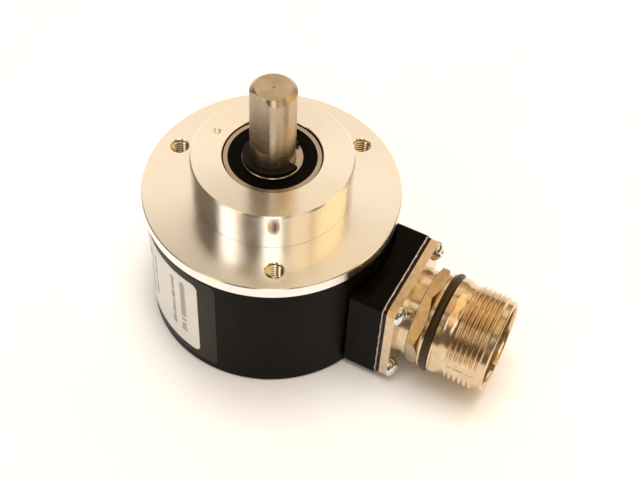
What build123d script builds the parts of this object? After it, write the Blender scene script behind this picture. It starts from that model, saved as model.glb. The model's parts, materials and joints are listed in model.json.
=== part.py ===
from build123d import *

import math
import os

# Shaft-type rotary encoder: 58 mm clamping flange, 10 mm shaft with a flat, and a radial
# round connector on a block at the side of the cover.
#
# Frame: millimetres. +Z is the shaft axis, pointing out of the machine side of the flange.
# +X runs from the shaft axis out through the connector. The origin is the centre of the
# flange's mounting face, where the spigot begins.

os.makedirs("parts", exist_ok=True)

# ---------------------------------------------------------------- driving dimensions
# Flange
FLANGE_R = 29.0
FLANGE_T = 3.0
SPIGOT_R = 18.0
SPIGOT_H = 10.0
REGISTER_R = 26.5
REGISTER_BOTTOM = -9.0
BOSS_R = 13.5
BOSS_BOTTOM = -13.5
BOLT_CIRCLE_R = 24.0
BOLT_COUNT = 3
BOLT_FIRST_ANGLE = 60.0
BOLT_R = 2.0
BOLT_DEPTH = 5.6

# Shaft
SHAFT_R = 5.0
SHAFT_TOP = 30.0
SHAFT_STEP = -11.0
JOURNAL_R = 4.0
SHAFT_BOTTOM = -21.2
FLAT_DISTANCE = 4.0
FLAT_BOTTOM = 15.0
FLAT_ANGLE = -107.0

# Bearings, 10 x 22 x 6 with a rubber seal on each side
BEARING_R = 11.0
BEARING_W = 6.0
BALL_R = 1.45
BALL_COUNT = 10
BALL_CIRCLE_R = 8.0
RACEWAY_R = 1.55
INNER_LAND_R = 6.75
OUTER_LAND_R = 9.25
SEAL_SEAT_R = 9.8
FRONT_BEARING_Z = 6.5
REAR_BEARING_Z = -7.5

# Cover
COVER_R = 28.15
COVER_WALL = 1.6
COVER_FLOOR = 2.0
COVER_BOTTOM = -36.6

# Code disc
DISC_R = 18.5
DISC_T = 1.1
DISC_TOP = -18.2
TRACK_R = 17.0
SENSOR_ANGLE = 150.0

# Boards and the standoffs that carry them
BOARD_R = 26.0
BOARD_T = 1.6
SENSOR_BOARD_TOP = -22.5
MAIN_BOARD_TOP = -28.0
STANDOFF_CIRCLE_R = 22.9
STANDOFF_FLATS = 5.0
STANDOFF_FIRST_ANGLE = 90.0
STUD_R = 1.2
STUD_HOLE_R = 1.25

# Connector and its block, along +X
CONNECTOR_Z = -22.3
BLOCK_HALF_WIDTH = 12.2
BLOCK_TOP = -9.8
BLOCK_BOTTOM = -35.3
BLOCK_FACE_X = 34.0
BLOCK_CAVITY_R = 9.5
WINDOW_R = 7.0
SHIM_T = 0.25
GASKET_T = 0.85
PLATE_HALF = 12.2
PLATE_T = 2.0
PLATE_CORNER = 0.9
PLATE_SCREW_OFFSET = 10.2
NECK_R = 10.4
HEX_X = 39.7
HEX_T = 2.9
HEX_CORNER_R = 11.55
HEX_TURN = 45.0
THREAD_R = 11.5
THREAD_START_X = 49.3
THREAD_END_X = 56.9
RIM_X = 58.6
RIM_R = 10.75
MOUTH_R = 9.8
SHELL_FLAT_DISTANCE = 10.65
SHELL_RING_SECTION_R = 0.85
SHELL_RING_X = 44.6
INSERT_R = 9.2
INSERT_BACK_X = 38.0
INSERT_FACE_X = 49.0
PIN_TIP_X = 56.0
PIN_R = 0.5
SOLDER_CUP_R = 0.8
SOLDER_CUP_X = 34.0
OUTER_PIN_COUNT = 9
OUTER_PIN_CIRCLE_R = 5.9
INNER_PIN_COUNT = 3
INNER_PIN_CIRCLE_R = 2.2

# Labels on the cover
BACKING_T = 0.10
LABEL_T = 0.08

# Faces worked out from the dimensions above
SHIM_X = BLOCK_FACE_X + SHIM_T
PLATE_BACK_X = SHIM_X + GASKET_T
PLATE_FRONT_X = PLATE_BACK_X + PLATE_T
SENSOR_BOARD_BOTTOM = SENSOR_BOARD_TOP - BOARD_T
MAIN_BOARD_BOTTOM = MAIN_BOARD_TOP - BOARD_T
COVER_INNER_R = COVER_R - COVER_WALL
COVER_FLOOR_TOP = COVER_BOTTOM + COVER_FLOOR
DISC_BOTTOM = DISC_TOP - DISC_T

CONNECTOR_AXIS = Axis((0, 0, CONNECTOR_Z), (1, 0, 0))
# Local x is +X and local y is the distance from the connector's axis.
CONNECTOR_SECTION = Plane(origin=(0, 0, CONNECTOR_Z), x_dir=(1, 0, 0), z_dir=(0, -1, 0))


# ---------------------------------------------------------------- helpers
def save(piece, label):
    """Label a finished piece and write it as one STEP file."""
    piece.part.label = label
    export_step(piece.part, f"parts/{label}.step")


def across_connector(x):
    """Plane square to the connector's axis at x: local x is +Y, local y is +Z."""
    return Plane(origin=(x, 0, CONNECTOR_Z), x_dir=(0, 1, 0), z_dir=(1, 0, 0))


def turned(angle, z):
    """Horizontal plane at height z, turned so that its local x points along an angle."""
    turn = math.radians(angle)
    direction = (math.cos(turn), math.sin(turn), 0)
    return Plane(origin=(0, 0, z), x_dir=direction, z_dir=(0, 0, 1))


def ring_profile(outer_r, inner_r):
    """Annulus in the sketch that is open."""
    Circle(outer_r)
    Circle(inner_r, mode=Mode.SUBTRACT)


def circles_at(piece, radius, height):
    """Circular edges of one radius in one horizontal plane."""
    flat_circles = piece.edges().filter_by(GeomType.CIRCLE)
    at_height = flat_circles.filter_by_position(Axis.Z, height - 0.01, height + 0.01)
    return at_height.filter_by(lambda edge: abs(edge.radius - radius) < 0.01)


def circles_across(piece, radius, x):
    """Circular edges of one radius in one plane square to the connector's axis."""
    circles = piece.edges().filter_by(GeomType.CIRCLE)
    in_plane = circles.filter_by_position(Axis.X, x - 0.01, x + 0.01)
    return in_plane.filter_by(lambda edge: abs(edge.radius - radius) < 0.01)


def plate_screw_points():
    """The connector plate's four screw positions, in a plane across the connector."""
    return GridLocations(2 * PLATE_SCREW_OFFSET, 2 * PLATE_SCREW_OFFSET, 2, 2)


# ---------------------------------------------------------------- flange
RELIEF_W = 0.25
RELIEF_DEPTH = 0.15
SPIGOT_CHAMFER = 0.35
BORE_CHAMFER = 0.15
EDGE_CHAMFER = 0.2
SHOULDER_R = 9.2
FRONT_SHOULDER_Z = FRONT_BEARING_Z - BEARING_W / 2
REAR_SHOULDER_Z = REAR_BEARING_Z + BEARING_W / 2
DIMPLE_RADIUS_OUT = 14.0
DIMPLE_R = 0.95
DIMPLE_DEPTH = 0.8
COVER_RING_GROOVE_R = 25.2
COVER_RING_SECTION_R = 0.66
COVER_RING_Z = -7.2
COVER_RING_GROOVE_W = 1.8
CIRCLIP_Z = -12.1
CIRCLIP_T = 1.0
CIRCLIP_GROOVE_R = 11.5
HOLDER_SCREW_SPREAD = 4.2
HOLDER_SCREW_R = 0.95
HOLDER_SCREW_DEPTH = 3.5
STANDOFF_STUD = 4.0

with BuildPart() as flange:
    with BuildSketch(Plane.XY.offset(-FLANGE_T)):
        Circle(FLANGE_R)
    extrude(amount=FLANGE_T)
    with BuildSketch(Plane.XY):
        Circle(SPIGOT_R)
    extrude(amount=SPIGOT_H)
    with BuildSketch(Plane.XY.offset(REGISTER_BOTTOM)):
        Circle(REGISTER_R)
    extrude(amount=-FLANGE_T - REGISTER_BOTTOM)
    with BuildSketch(Plane.XY.offset(BOSS_BOTTOM)):
        Circle(BOSS_R)
    extrude(amount=REGISTER_BOTTOM - BOSS_BOTTOM)
    # Clearance through the middle, then a seat for a bearing from each end.
    with BuildSketch(Plane.XY.offset(BOSS_BOTTOM)):
        Circle(SHOULDER_R)
    extrude(amount=SPIGOT_H - BOSS_BOTTOM, mode=Mode.SUBTRACT)
    with BuildSketch(Plane.XY.offset(FRONT_SHOULDER_Z)):
        Circle(BEARING_R)
    extrude(amount=SPIGOT_H - FRONT_SHOULDER_Z, mode=Mode.SUBTRACT)
    with BuildSketch(Plane.XY.offset(BOSS_BOTTOM)):
        Circle(BEARING_R)
    extrude(amount=REAR_SHOULDER_Z - BOSS_BOTTOM, mode=Mode.SUBTRACT)
    with BuildSketch(Plane.XY.offset(CIRCLIP_Z)):
        Circle(CIRCLIP_GROOVE_R)
    extrude(amount=CIRCLIP_T, mode=Mode.SUBTRACT)
    # Fine relief groove in the mounting face, round the foot of the spigot.
    with BuildSketch(Plane.XY):
        ring_profile(SPIGOT_R + RELIEF_W, SPIGOT_R)
    extrude(amount=-RELIEF_DEPTH, mode=Mode.SUBTRACT)
    with BuildSketch(Plane.XY.offset(COVER_RING_Z - COVER_RING_GROOVE_W / 2)):
        ring_profile(REGISTER_R, COVER_RING_GROOVE_R)
    extrude(amount=COVER_RING_GROOVE_W, mode=Mode.SUBTRACT)
    # Three blind mounting holes in the face.
    with BuildSketch(Plane.XY):
        with PolarLocations(BOLT_CIRCLE_R, BOLT_COUNT, start_angle=BOLT_FIRST_ANGLE):
            Circle(BOLT_R)
    extrude(amount=-BOLT_DEPTH, mode=Mode.SUBTRACT)
    # Punched dimple that marks the front face.
    with BuildSketch(Plane.XY.offset(SPIGOT_H)):
        with Locations((-DIMPLE_RADIUS_OUT, 0)):
            Circle(DIMPLE_R)
    extrude(amount=-DIMPLE_DEPTH, taper=45, mode=Mode.SUBTRACT)
    # Holes in the underside for the standoffs and the lamp holder's screws.
    with BuildSketch(Plane.XY.offset(REGISTER_BOTTOM)):
        with PolarLocations(STANDOFF_CIRCLE_R, 3, start_angle=STANDOFF_FIRST_ANGLE):
            Circle(STUD_HOLE_R)
    extrude(amount=STANDOFF_STUD + 0.2, mode=Mode.SUBTRACT)
    with BuildSketch(turned(SENSOR_ANGLE, REGISTER_BOTTOM)):
        with Locations((TRACK_R, HOLDER_SCREW_SPREAD), (TRACK_R, -HOLDER_SCREW_SPREAD)):
            Circle(HOLDER_SCREW_R + 0.05)
    extrude(amount=HOLDER_SCREW_DEPTH + 0.2, mode=Mode.SUBTRACT)
    chamfer(circles_at(flange, SPIGOT_R, SPIGOT_H), SPIGOT_CHAMFER)
    chamfer(circles_at(flange, BEARING_R, SPIGOT_H), BORE_CHAMFER)
    chamfer(circles_at(flange, FLANGE_R, 0), EDGE_CHAMFER)
    chamfer(circles_at(flange, FLANGE_R, -FLANGE_T), EDGE_CHAMFER)
    chamfer(circles_at(flange, BOLT_R, 0), EDGE_CHAMFER)
save(flange, "flange")


# ---------------------------------------------------------------- shaft and what it carries
SNAP_RING_R = 6.55
SNAP_RING_T = 1.0
SNAP_GROOVE_R = 4.75
SNAP_GROOVE_W = 1.05
SNAP_RING_Z = FRONT_BEARING_Z + BEARING_W / 2
SNAP_GAP_ANGLE = 24.5
SNAP_GAP_HALF = 32.0
SHAFT_CHAMFER = 1.0
SEAM_TO_FLAT = 67.5
JOURNAL_CHAMFER = 0.4
CENTRE_MARK_R = 0.35
CENTRE_MARK_DEPTH = 0.3
SPACER_R = 6.5

with BuildPart() as shaft:
    # The seam of the round face is turned well clear of the flat.
    with BuildSketch(turned(FLAT_ANGLE - SEAM_TO_FLAT, SHAFT_STEP)):
        Circle(SHAFT_R)
    extrude(amount=SHAFT_TOP - SHAFT_STEP)
    with BuildSketch(Plane.XY.offset(SHAFT_BOTTOM)):
        Circle(JOURNAL_R)
    extrude(amount=SHAFT_STEP - SHAFT_BOTTOM)
    chamfer(circles_at(shaft, SHAFT_R, SHAFT_TOP), SHAFT_CHAMFER)
    chamfer(circles_at(shaft, JOURNAL_R, SHAFT_BOTTOM), JOURNAL_CHAMFER)
    with BuildSketch(Plane.XY.offset(SNAP_RING_Z)):
        ring_profile(SHAFT_R + 1, SNAP_GROOVE_R)
    extrude(amount=SNAP_GROOVE_W, mode=Mode.SUBTRACT)
    with BuildSketch(turned(FLAT_ANGLE, FLAT_BOTTOM)):
        with Locations((FLAT_DISTANCE + SHAFT_R, 0)):
            Rectangle(2 * SHAFT_R, 4 * SHAFT_R)
    extrude(amount=SHAFT_TOP - FLAT_BOTTOM + 1, mode=Mode.SUBTRACT)
    # Centre mark left by turning.
    with BuildSketch(Plane.XY.offset(SHAFT_TOP)):
        Circle(CENTRE_MARK_R)
    extrude(amount=-CENTRE_MARK_DEPTH, taper=40, mode=Mode.SUBTRACT)
save(shaft, "shaft")

with BuildPart() as snap_ring:
    with BuildSketch(turned(SNAP_GAP_ANGLE, SNAP_RING_Z)):
        ring_profile(SNAP_RING_R, SNAP_GROOVE_R)
        with BuildLine():
            reach = 2 * SNAP_RING_R
            spread = reach * math.tan(math.radians(SNAP_GAP_HALF))
            Polyline((0, 0), (reach, spread), (reach, -spread), close=True)
        make_face(mode=Mode.SUBTRACT)
    extrude(amount=SNAP_RING_T)
save(snap_ring, "front_snap_ring")

with BuildPart() as inner_spacer:
    with BuildSketch(Plane.XY.offset(REAR_SHOULDER_Z)):
        ring_profile(SPACER_R, SHAFT_R + 0.02)
    extrude(amount=FRONT_SHOULDER_Z - REAR_SHOULDER_Z)
save(inner_spacer, "bearing_spacer")


# ---------------------------------------------------------------- bearings
CAGE_INNER_R = 7.3
CAGE_OUTER_R = 8.7
CAGE_HALF = 1.9
SEAL_T = 0.6
SEAL_RECESS = 0.15
SEAL_LIP_GAP = 0.1
SEAL_LIP_W = 0.75
SEAL_LIP_STEP = 0.15
OUTER_RING_CHAMFER = 0.3
INNER_RING_CHAMFER = 0.15


def outer_ring(prefix, centre_z):
    with BuildPart() as ring:
        with BuildSketch(Plane.XY.offset(centre_z - BEARING_W / 2)):
            ring_profile(BEARING_R, OUTER_LAND_R)
        extrude(amount=BEARING_W)
        for side in (-1, 1):
            face_z = centre_z + side * BEARING_W / 2
            with BuildSketch(Plane.XY.offset(face_z)):
                Circle(SEAL_SEAT_R)
            extrude(amount=-side * (SEAL_T + SEAL_RECESS), mode=Mode.SUBTRACT)
            chamfer(circles_at(ring, BEARING_R, face_z), OUTER_RING_CHAMFER)
        with BuildSketch(Plane.XZ):
            with Locations((BALL_CIRCLE_R, centre_z)):
                Circle(RACEWAY_R)
        revolve(axis=Axis.Z, mode=Mode.SUBTRACT)
    save(ring, f"{prefix}_outer_ring")


def inner_ring(prefix, centre_z):
    with BuildPart() as ring:
        with BuildSketch(Plane.XY.offset(centre_z - BEARING_W / 2)):
            ring_profile(INNER_LAND_R, SHAFT_R)
        extrude(amount=BEARING_W)
        with BuildSketch(Plane.XZ):
            with Locations((BALL_CIRCLE_R, centre_z)):
                Circle(RACEWAY_R)
        revolve(axis=Axis.Z, mode=Mode.SUBTRACT)
        for side in (-1, 1):
            face_z = centre_z + side * BEARING_W / 2
            chamfer(circles_at(ring, INNER_LAND_R, face_z), INNER_RING_CHAMFER)
            chamfer(circles_at(ring, SHAFT_R, face_z), INNER_RING_CHAMFER)
    save(ring, f"{prefix}_inner_ring")


def ball_set(prefix, centre_z):
    with BuildPart() as balls:
        with Locations(Plane.XY.offset(centre_z)):
            with PolarLocations(BALL_CIRCLE_R, BALL_COUNT):
                Sphere(BALL_R)
    save(balls, f"{prefix}_balls")


def ball_cage(prefix, centre_z):
    with BuildPart() as cage:
        with BuildSketch(Plane.XY.offset(centre_z - CAGE_HALF)):
            ring_profile(CAGE_OUTER_R, CAGE_INNER_R)
        extrude(amount=2 * CAGE_HALF)
        for pocket in range(BALL_COUNT):
            turn = 2 * math.pi * pocket / BALL_COUNT
            outwards = (math.cos(turn), math.sin(turn), 0)
            with BuildSketch(Plane(origin=(0, 0, centre_z), x_dir=(0, 0, 1), z_dir=outwards)):
                Circle(BALL_R + 0.05)
            extrude(amount=CAGE_OUTER_R + 1, mode=Mode.SUBTRACT)
    save(cage, f"{prefix}_cage")


def seal(prefix, place, centre_z, side):
    """One sealing washer: side 1 faces out of the machine, side -1 faces inwards."""
    outside_z = centre_z + side * (BEARING_W / 2 - SEAL_RECESS)
    lip_r = INNER_LAND_R + SEAL_LIP_GAP
    with BuildPart() as washer:
        with BuildSketch(Plane.XY.offset(outside_z)):
            ring_profile(SEAL_SEAT_R, lip_r)
        extrude(amount=-side * SEAL_T)
        # A shallow step marks the lip off from the stiffened web.
        with BuildSketch(Plane.XY.offset(outside_z)):
            ring_profile(lip_r + SEAL_LIP_W, lip_r)
        extrude(amount=-side * SEAL_LIP_STEP, mode=Mode.SUBTRACT)
    save(washer, f"{prefix}_{place}_seal")


for bearing_name, bearing_z in (("front_bearing", FRONT_BEARING_Z), ("rear_bearing", REAR_BEARING_Z)):
    outer_ring(bearing_name, bearing_z)
    inner_ring(bearing_name, bearing_z)
    ball_set(bearing_name, bearing_z)
    ball_cage(bearing_name, bearing_z)
    seal(bearing_name, "upper", bearing_z, 1)
    seal(bearing_name, "lower", bearing_z, -1)

WASHER_TOP = REAR_BEARING_Z - BEARING_W / 2
WASHER_T = WASHER_TOP - CIRCLIP_Z - CIRCLIP_T

with BuildPart() as preload_washer:
    with BuildSketch(Plane.XY.offset(WASHER_TOP - WASHER_T)):
        ring_profile(BEARING_R - 0.15, OUTER_LAND_R + 0.2)
    extrude(amount=WASHER_T)
save(preload_washer, "preload_washer")

CIRCLIP_INNER_R = 9.7
LUG_R = 1.1
LUG_HOLE_R = 0.5
LUG_HALF_ANGLE = 14.0
CIRCLIP_GAP_W = 1.8


def lug_places():
    """The two lugs either side of the circlip's gap, measured from the gap's middle."""
    return PolarLocations(CIRCLIP_INNER_R, 2, start_angle=-LUG_HALF_ANGLE, angular_range=4 * LUG_HALF_ANGLE)


with BuildPart() as circlip:
    with BuildSketch(turned(-90, CIRCLIP_Z)):
        ring_profile(CIRCLIP_GROOVE_R - 0.05, CIRCLIP_INNER_R)
        with lug_places():
            Circle(LUG_R)
        with Locations((CIRCLIP_GROOVE_R, 0)):
            Rectangle(6, CIRCLIP_GAP_W, mode=Mode.SUBTRACT)
        with lug_places():
            Circle(LUG_HOLE_R, mode=Mode.SUBTRACT)
    extrude(amount=CIRCLIP_T)
save(circlip, "housing_circlip")


# ---------------------------------------------------------------- code disc and its hub
HUB_NECK_R = 5.8
HUB_BODY_R = 8.0
HUB_FLANGE_R = 11.0
HUB_REGISTER_R = 8.55
HUB_BODY_TOP = -13.8
HUB_FLANGE_TOP = -16.4
HUB_TOP = -11.1
CLAMP_T = 1.2
CLAMP_BORE_R = 4.6
CLAMP_BOTTOM = DISC_BOTTOM - CLAMP_T
CLAMP_SCREW_CIRCLE_R = 6.6
CLAMP_SCREW_R = 0.8
CLAMP_SCREW_LENGTH = 4.0
CLAMP_SCREW_HEAD_R = 1.5
CLAMP_SCREW_HEAD_T = 0.8
CLAMP_SCREW_SLOT_W = 0.4
SET_SCREW_Z = -15.1
SET_SCREW_R = 1.0
SET_SCREW_SOCKET_R = 0.5
SET_SCREW_SOCKET_DEPTH = 1.2

with BuildPart() as disc_hub:
    with BuildSketch(Plane.XY.offset(HUB_BODY_TOP)):
        Circle(HUB_NECK_R)
    extrude(amount=HUB_TOP - HUB_BODY_TOP)
    with BuildSketch(Plane.XY.offset(HUB_FLANGE_TOP)):
        Circle(HUB_BODY_R)
    extrude(amount=HUB_BODY_TOP - HUB_FLANGE_TOP)
    with BuildSketch(Plane.XY.offset(DISC_TOP)):
        Circle(HUB_FLANGE_R)
    extrude(amount=HUB_FLANGE_TOP - DISC_TOP)
    with BuildSketch(Plane.XY.offset(DISC_BOTTOM + 0.05)):
        Circle(HUB_REGISTER_R)
    extrude(amount=DISC_TOP - DISC_BOTTOM - 0.05)
    with BuildSketch(Plane.XY.offset(DISC_BOTTOM)):
        Circle(JOURNAL_R + 0.02)
    extrude(amount=HUB_TOP - DISC_BOTTOM, mode=Mode.SUBTRACT)
    with BuildSketch(Plane.XY.offset(DISC_BOTTOM)):
        with PolarLocations(CLAMP_SCREW_CIRCLE_R, 3):
            Circle(CLAMP_SCREW_R + 0.05)
    extrude(amount=CLAMP_SCREW_LENGTH - CLAMP_T + 0.2, mode=Mode.SUBTRACT)
    with BuildSketch(Plane(origin=(0, 0, SET_SCREW_Z), x_dir=(1, 0, 0), z_dir=(0, 1, 0))):
        Circle(SET_SCREW_R + 0.05)
    extrude(amount=HUB_BODY_R + 1, mode=Mode.SUBTRACT)
save(disc_hub, "disc_hub")

with BuildPart() as hub_set_screw:
    with BuildSketch(Plane(origin=(0, JOURNAL_R + 0.05, SET_SCREW_Z), x_dir=(1, 0, 0), z_dir=(0, 1, 0))):
        Circle(SET_SCREW_R)
    extrude(amount=HUB_BODY_R - JOURNAL_R - 0.4)
    with BuildSketch(Plane(origin=(0, HUB_BODY_R - 0.35, SET_SCREW_Z), x_dir=(1, 0, 0), z_dir=(0, 1, 0))):
        RegularPolygon(radius=SET_SCREW_SOCKET_R, side_count=6)
    extrude(amount=-SET_SCREW_SOCKET_DEPTH, mode=Mode.SUBTRACT)
save(hub_set_screw, "hub_set_screw")

with BuildPart() as code_disc:
    with BuildSketch(Plane.XY.offset(DISC_BOTTOM)):
        ring_profile(DISC_R, HUB_REGISTER_R + 0.03)
    extrude(amount=DISC_T)
save(code_disc, "code_disc")

with BuildPart() as disc_clamp:
    with BuildSketch(Plane.XY.offset(CLAMP_BOTTOM)):
        ring_profile(HUB_FLANGE_R, CLAMP_BORE_R)
        with PolarLocations(CLAMP_SCREW_CIRCLE_R, 3):
            Circle(CLAMP_SCREW_R + 0.15, mode=Mode.SUBTRACT)
    extrude(amount=CLAMP_T)
save(disc_clamp, "disc_clamp_ring")

with BuildPart() as clamp_screws:
    with BuildSketch(Plane.XY.offset(CLAMP_BOTTOM)):
        with PolarLocations(CLAMP_SCREW_CIRCLE_R, 3):
            Circle(CLAMP_SCREW_R)
    extrude(amount=CLAMP_SCREW_LENGTH)
    with BuildSketch(Plane.XY.offset(CLAMP_BOTTOM - CLAMP_SCREW_HEAD_T)):
        with PolarLocations(CLAMP_SCREW_CIRCLE_R, 3):
            Circle(CLAMP_SCREW_HEAD_R)
    extrude(amount=CLAMP_SCREW_HEAD_T)
    with BuildSketch(Plane.XY.offset(CLAMP_BOTTOM - CLAMP_SCREW_HEAD_T)):
        with PolarLocations(CLAMP_SCREW_CIRCLE_R, 3):
            Rectangle(CLAMP_SCREW_SLOT_W, 2 * CLAMP_SCREW_HEAD_R + 0.2)
    extrude(amount=CLAMP_SCREW_HEAD_T / 2, mode=Mode.SUBTRACT)
save(clamp_screws, "disc_clamp_screws")


# ---------------------------------------------------------------- lamp, reticle and sensor
HOLDER_LENGTH = 5.6
HOLDER_WIDTH = 12.0
HOLDER_BOTTOM = -16.0
LAMP_R = 1.45
LAMP_CENTRE_Z = -15.2
HOLDER_CORNER = 0.8
HOLDER_HEAD_R = 1.6
HOLDER_HEAD_T = 1.0
HOLDER_SLOT_W = 0.5
CHIP_LENGTH = 6.0
CHIP_WIDTH = 8.0
CHIP_LEG_PITCH = 1.2
CHIP_LEG_W = 0.4
CHIP_LEG_T = 0.3
RETICLE_LENGTH = 5.0
RETICLE_WIDTH = 6.4
CHIP_TOP = -21.0
RETICLE_TOP = -20.3

with BuildPart() as lamp_holder:
    with BuildSketch(turned(SENSOR_ANGLE, HOLDER_BOTTOM)):
        with Locations((TRACK_R, 0)):
            RectangleRounded(HOLDER_LENGTH, HOLDER_WIDTH, HOLDER_CORNER)
            Circle(LAMP_R + 0.1, mode=Mode.SUBTRACT)
        with Locations((TRACK_R, HOLDER_SCREW_SPREAD), (TRACK_R, -HOLDER_SCREW_SPREAD)):
            Circle(HOLDER_SCREW_R + 0.1, mode=Mode.SUBTRACT)
    extrude(amount=REGISTER_BOTTOM - HOLDER_BOTTOM)
save(lamp_holder, "lamp_holder")

with BuildPart() as holder_screws:
    for side in (-1, 1):
        with BuildSketch(turned(SENSOR_ANGLE, HOLDER_BOTTOM)):
            with Locations((TRACK_R, side * HOLDER_SCREW_SPREAD)):
                Circle(HOLDER_SCREW_R)
        extrude(amount=REGISTER_BOTTOM - HOLDER_BOTTOM + HOLDER_SCREW_DEPTH)
        with BuildSketch(turned(SENSOR_ANGLE, HOLDER_BOTTOM - HOLDER_HEAD_T)):
            with Locations((TRACK_R, side * HOLDER_SCREW_SPREAD)):
                Circle(HOLDER_HEAD_R)
                Rectangle(HOLDER_SLOT_W, 2 * HOLDER_HEAD_R + 0.2, mode=Mode.SUBTRACT)
        extrude(amount=HOLDER_HEAD_T / 2)
        with BuildSketch(turned(SENSOR_ANGLE, HOLDER_BOTTOM - HOLDER_HEAD_T / 2)):
            with Locations((TRACK_R, side * HOLDER_SCREW_SPREAD)):
                Circle(HOLDER_HEAD_R)
        extrude(amount=HOLDER_HEAD_T / 2)
save(holder_screws, "lamp_holder_screws")

with BuildPart() as lamp:
    with BuildSketch(turned(SENSOR_ANGLE, LAMP_CENTRE_Z)):
        with Locations((TRACK_R, 0)):
            Circle(LAMP_R)
    extrude(amount=REGISTER_BOTTOM - LAMP_CENTRE_Z - 0.5)
    with Locations(turned(SENSOR_ANGLE, LAMP_CENTRE_Z)):
        with Locations((TRACK_R, 0, 0)):
            Sphere(LAMP_R)
save(lamp, "lamp")

with BuildPart() as sensor_chip:
    with BuildSketch(turned(SENSOR_ANGLE, SENSOR_BOARD_TOP)):
        with Locations((TRACK_R, 0)):
            Rectangle(CHIP_LENGTH, CHIP_WIDTH)
    extrude(amount=CHIP_TOP - SENSOR_BOARD_TOP)
    with BuildSketch(turned(SENSOR_ANGLE, SENSOR_BOARD_TOP)):
        with Locations((TRACK_R, 0)):
            with GridLocations(CHIP_LEG_PITCH, CHIP_WIDTH + 1, 4, 2):
                Rectangle(CHIP_LEG_W, 1.4)
    extrude(amount=CHIP_LEG_T)
save(sensor_chip, "sensor_chip")

with BuildPart() as reticle:
    with BuildSketch(turned(SENSOR_ANGLE, CHIP_TOP)):
        with Locations((TRACK_R, 0)):
            Rectangle(RETICLE_LENGTH, RETICLE_WIDTH)
    extrude(amount=RETICLE_TOP - CHIP_TOP)
save(reticle, "reticle")


# ---------------------------------------------------------------- boards and standoffs
BOARD_BORE_R = 4.0
MAIN_BOARD_BORE_R = 1.5
NOTCH_HALF = 8.0
NOTCH_X = 16.5


def board_outline(bore_r):
    """Round board with holes for the standoffs' studs, in the sketch that is open."""
    Circle(BOARD_R)
    Circle(bore_r, mode=Mode.SUBTRACT)
    with PolarLocations(STANDOFF_CIRCLE_R, 3, start_angle=STANDOFF_FIRST_ANGLE):
        Circle(STUD_R + 0.2, mode=Mode.SUBTRACT)


with BuildPart() as sensor_board:
    with BuildSketch(Plane.XY.offset(SENSOR_BOARD_BOTTOM)):
        board_outline(BOARD_BORE_R)
        with Locations(((NOTCH_X + BOARD_R + 1) / 2, 0)):
            Rectangle(BOARD_R + 1 - NOTCH_X, 2 * NOTCH_HALF, mode=Mode.SUBTRACT)
    extrude(amount=BOARD_T)
save(sensor_board, "sensor_board")

with BuildPart() as main_board:
    with BuildSketch(Plane.XY.offset(MAIN_BOARD_BOTTOM)):
        board_outline(MAIN_BOARD_BORE_R)
    extrude(amount=BOARD_T)
save(main_board, "main_board")


LONGEST_STANDOFF_HOLE = 6.0
STANDOFF_END_WALL = 0.8


def standoffs(label, top, bottom, stud_length):
    """Three hexagonal standoffs with a stud above and a tapped hole below."""
    hole_depth = min(LONGEST_STANDOFF_HOLE, (top - bottom) - STANDOFF_END_WALL)
    with BuildPart() as posts:
        with BuildSketch(Plane.XY.offset(bottom)):
            with PolarLocations(STANDOFF_CIRCLE_R, 3, start_angle=STANDOFF_FIRST_ANGLE):
                RegularPolygon(radius=STANDOFF_FLATS / 2, side_count=6, major_radius=False)
        extrude(amount=top - bottom)
        with BuildSketch(Plane.XY.offset(top)):
            with PolarLocations(STANDOFF_CIRCLE_R, 3, start_angle=STANDOFF_FIRST_ANGLE):
                Circle(STUD_R)
        extrude(amount=stud_length)
        with BuildSketch(Plane.XY.offset(bottom)):
            with PolarLocations(STANDOFF_CIRCLE_R, 3, start_angle=STANDOFF_FIRST_ANGLE):
                Circle(STUD_HOLE_R)
        extrude(amount=hole_depth, mode=Mode.SUBTRACT)
    save(posts, label)


BOARD_STUD = BOARD_T + 2.5
standoffs("upper_standoffs", REGISTER_BOTTOM, SENSOR_BOARD_TOP, STANDOFF_STUD)
standoffs("middle_standoffs", SENSOR_BOARD_BOTTOM, MAIN_BOARD_TOP, BOARD_STUD)
standoffs("lower_standoffs", MAIN_BOARD_BOTTOM, COVER_FLOOR_TOP, BOARD_STUD)

HEADER_X = -8.0
HEADER_Y = -14.0
HEADER_LENGTH = 13.0
HEADER_WIDTH = 5.0

with BuildPart() as board_header:
    with BuildSketch(Plane.XY.offset(MAIN_BOARD_TOP)):
        with Locations((HEADER_X, HEADER_Y)):
            Rectangle(HEADER_LENGTH, HEADER_WIDTH)
    extrude(amount=SENSOR_BOARD_BOTTOM - MAIN_BOARD_TOP)
save(board_header, "board_header")

DRIVER_SITES = ((-7, 8), (7, 8), (7, -8))
DRIVER_BODY_DROP = 1.5
DRIVER_LENGTH = 5.0
DRIVER_WIDTH = 4.0
DRIVER_LEG_PITCH = 1.27
DRIVER_LEG_W = 0.45
DRIVER_LEG_T = 0.3

with BuildPart() as driver_chips:
    for driver_site in DRIVER_SITES:
        with BuildSketch(Plane.XY.offset(MAIN_BOARD_BOTTOM - DRIVER_BODY_DROP)):
            with Locations(driver_site):
                Rectangle(DRIVER_LENGTH, DRIVER_WIDTH)
        extrude(amount=DRIVER_BODY_DROP)
        with BuildSketch(Plane.XY.offset(MAIN_BOARD_BOTTOM - DRIVER_LEG_T)):
            with Locations(driver_site):
                with GridLocations(DRIVER_LEG_PITCH, DRIVER_WIDTH + 0.8, 4, 2):
                    Rectangle(DRIVER_LEG_W, 1.2)
        extrude(amount=DRIVER_LEG_T)
save(driver_chips, "driver_chips")

CAPACITOR_X = -14.0
CAPACITOR_R = 2.5
CAPACITOR_H = 4.2
CAPACITOR_CHAMFER = 0.3

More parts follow.
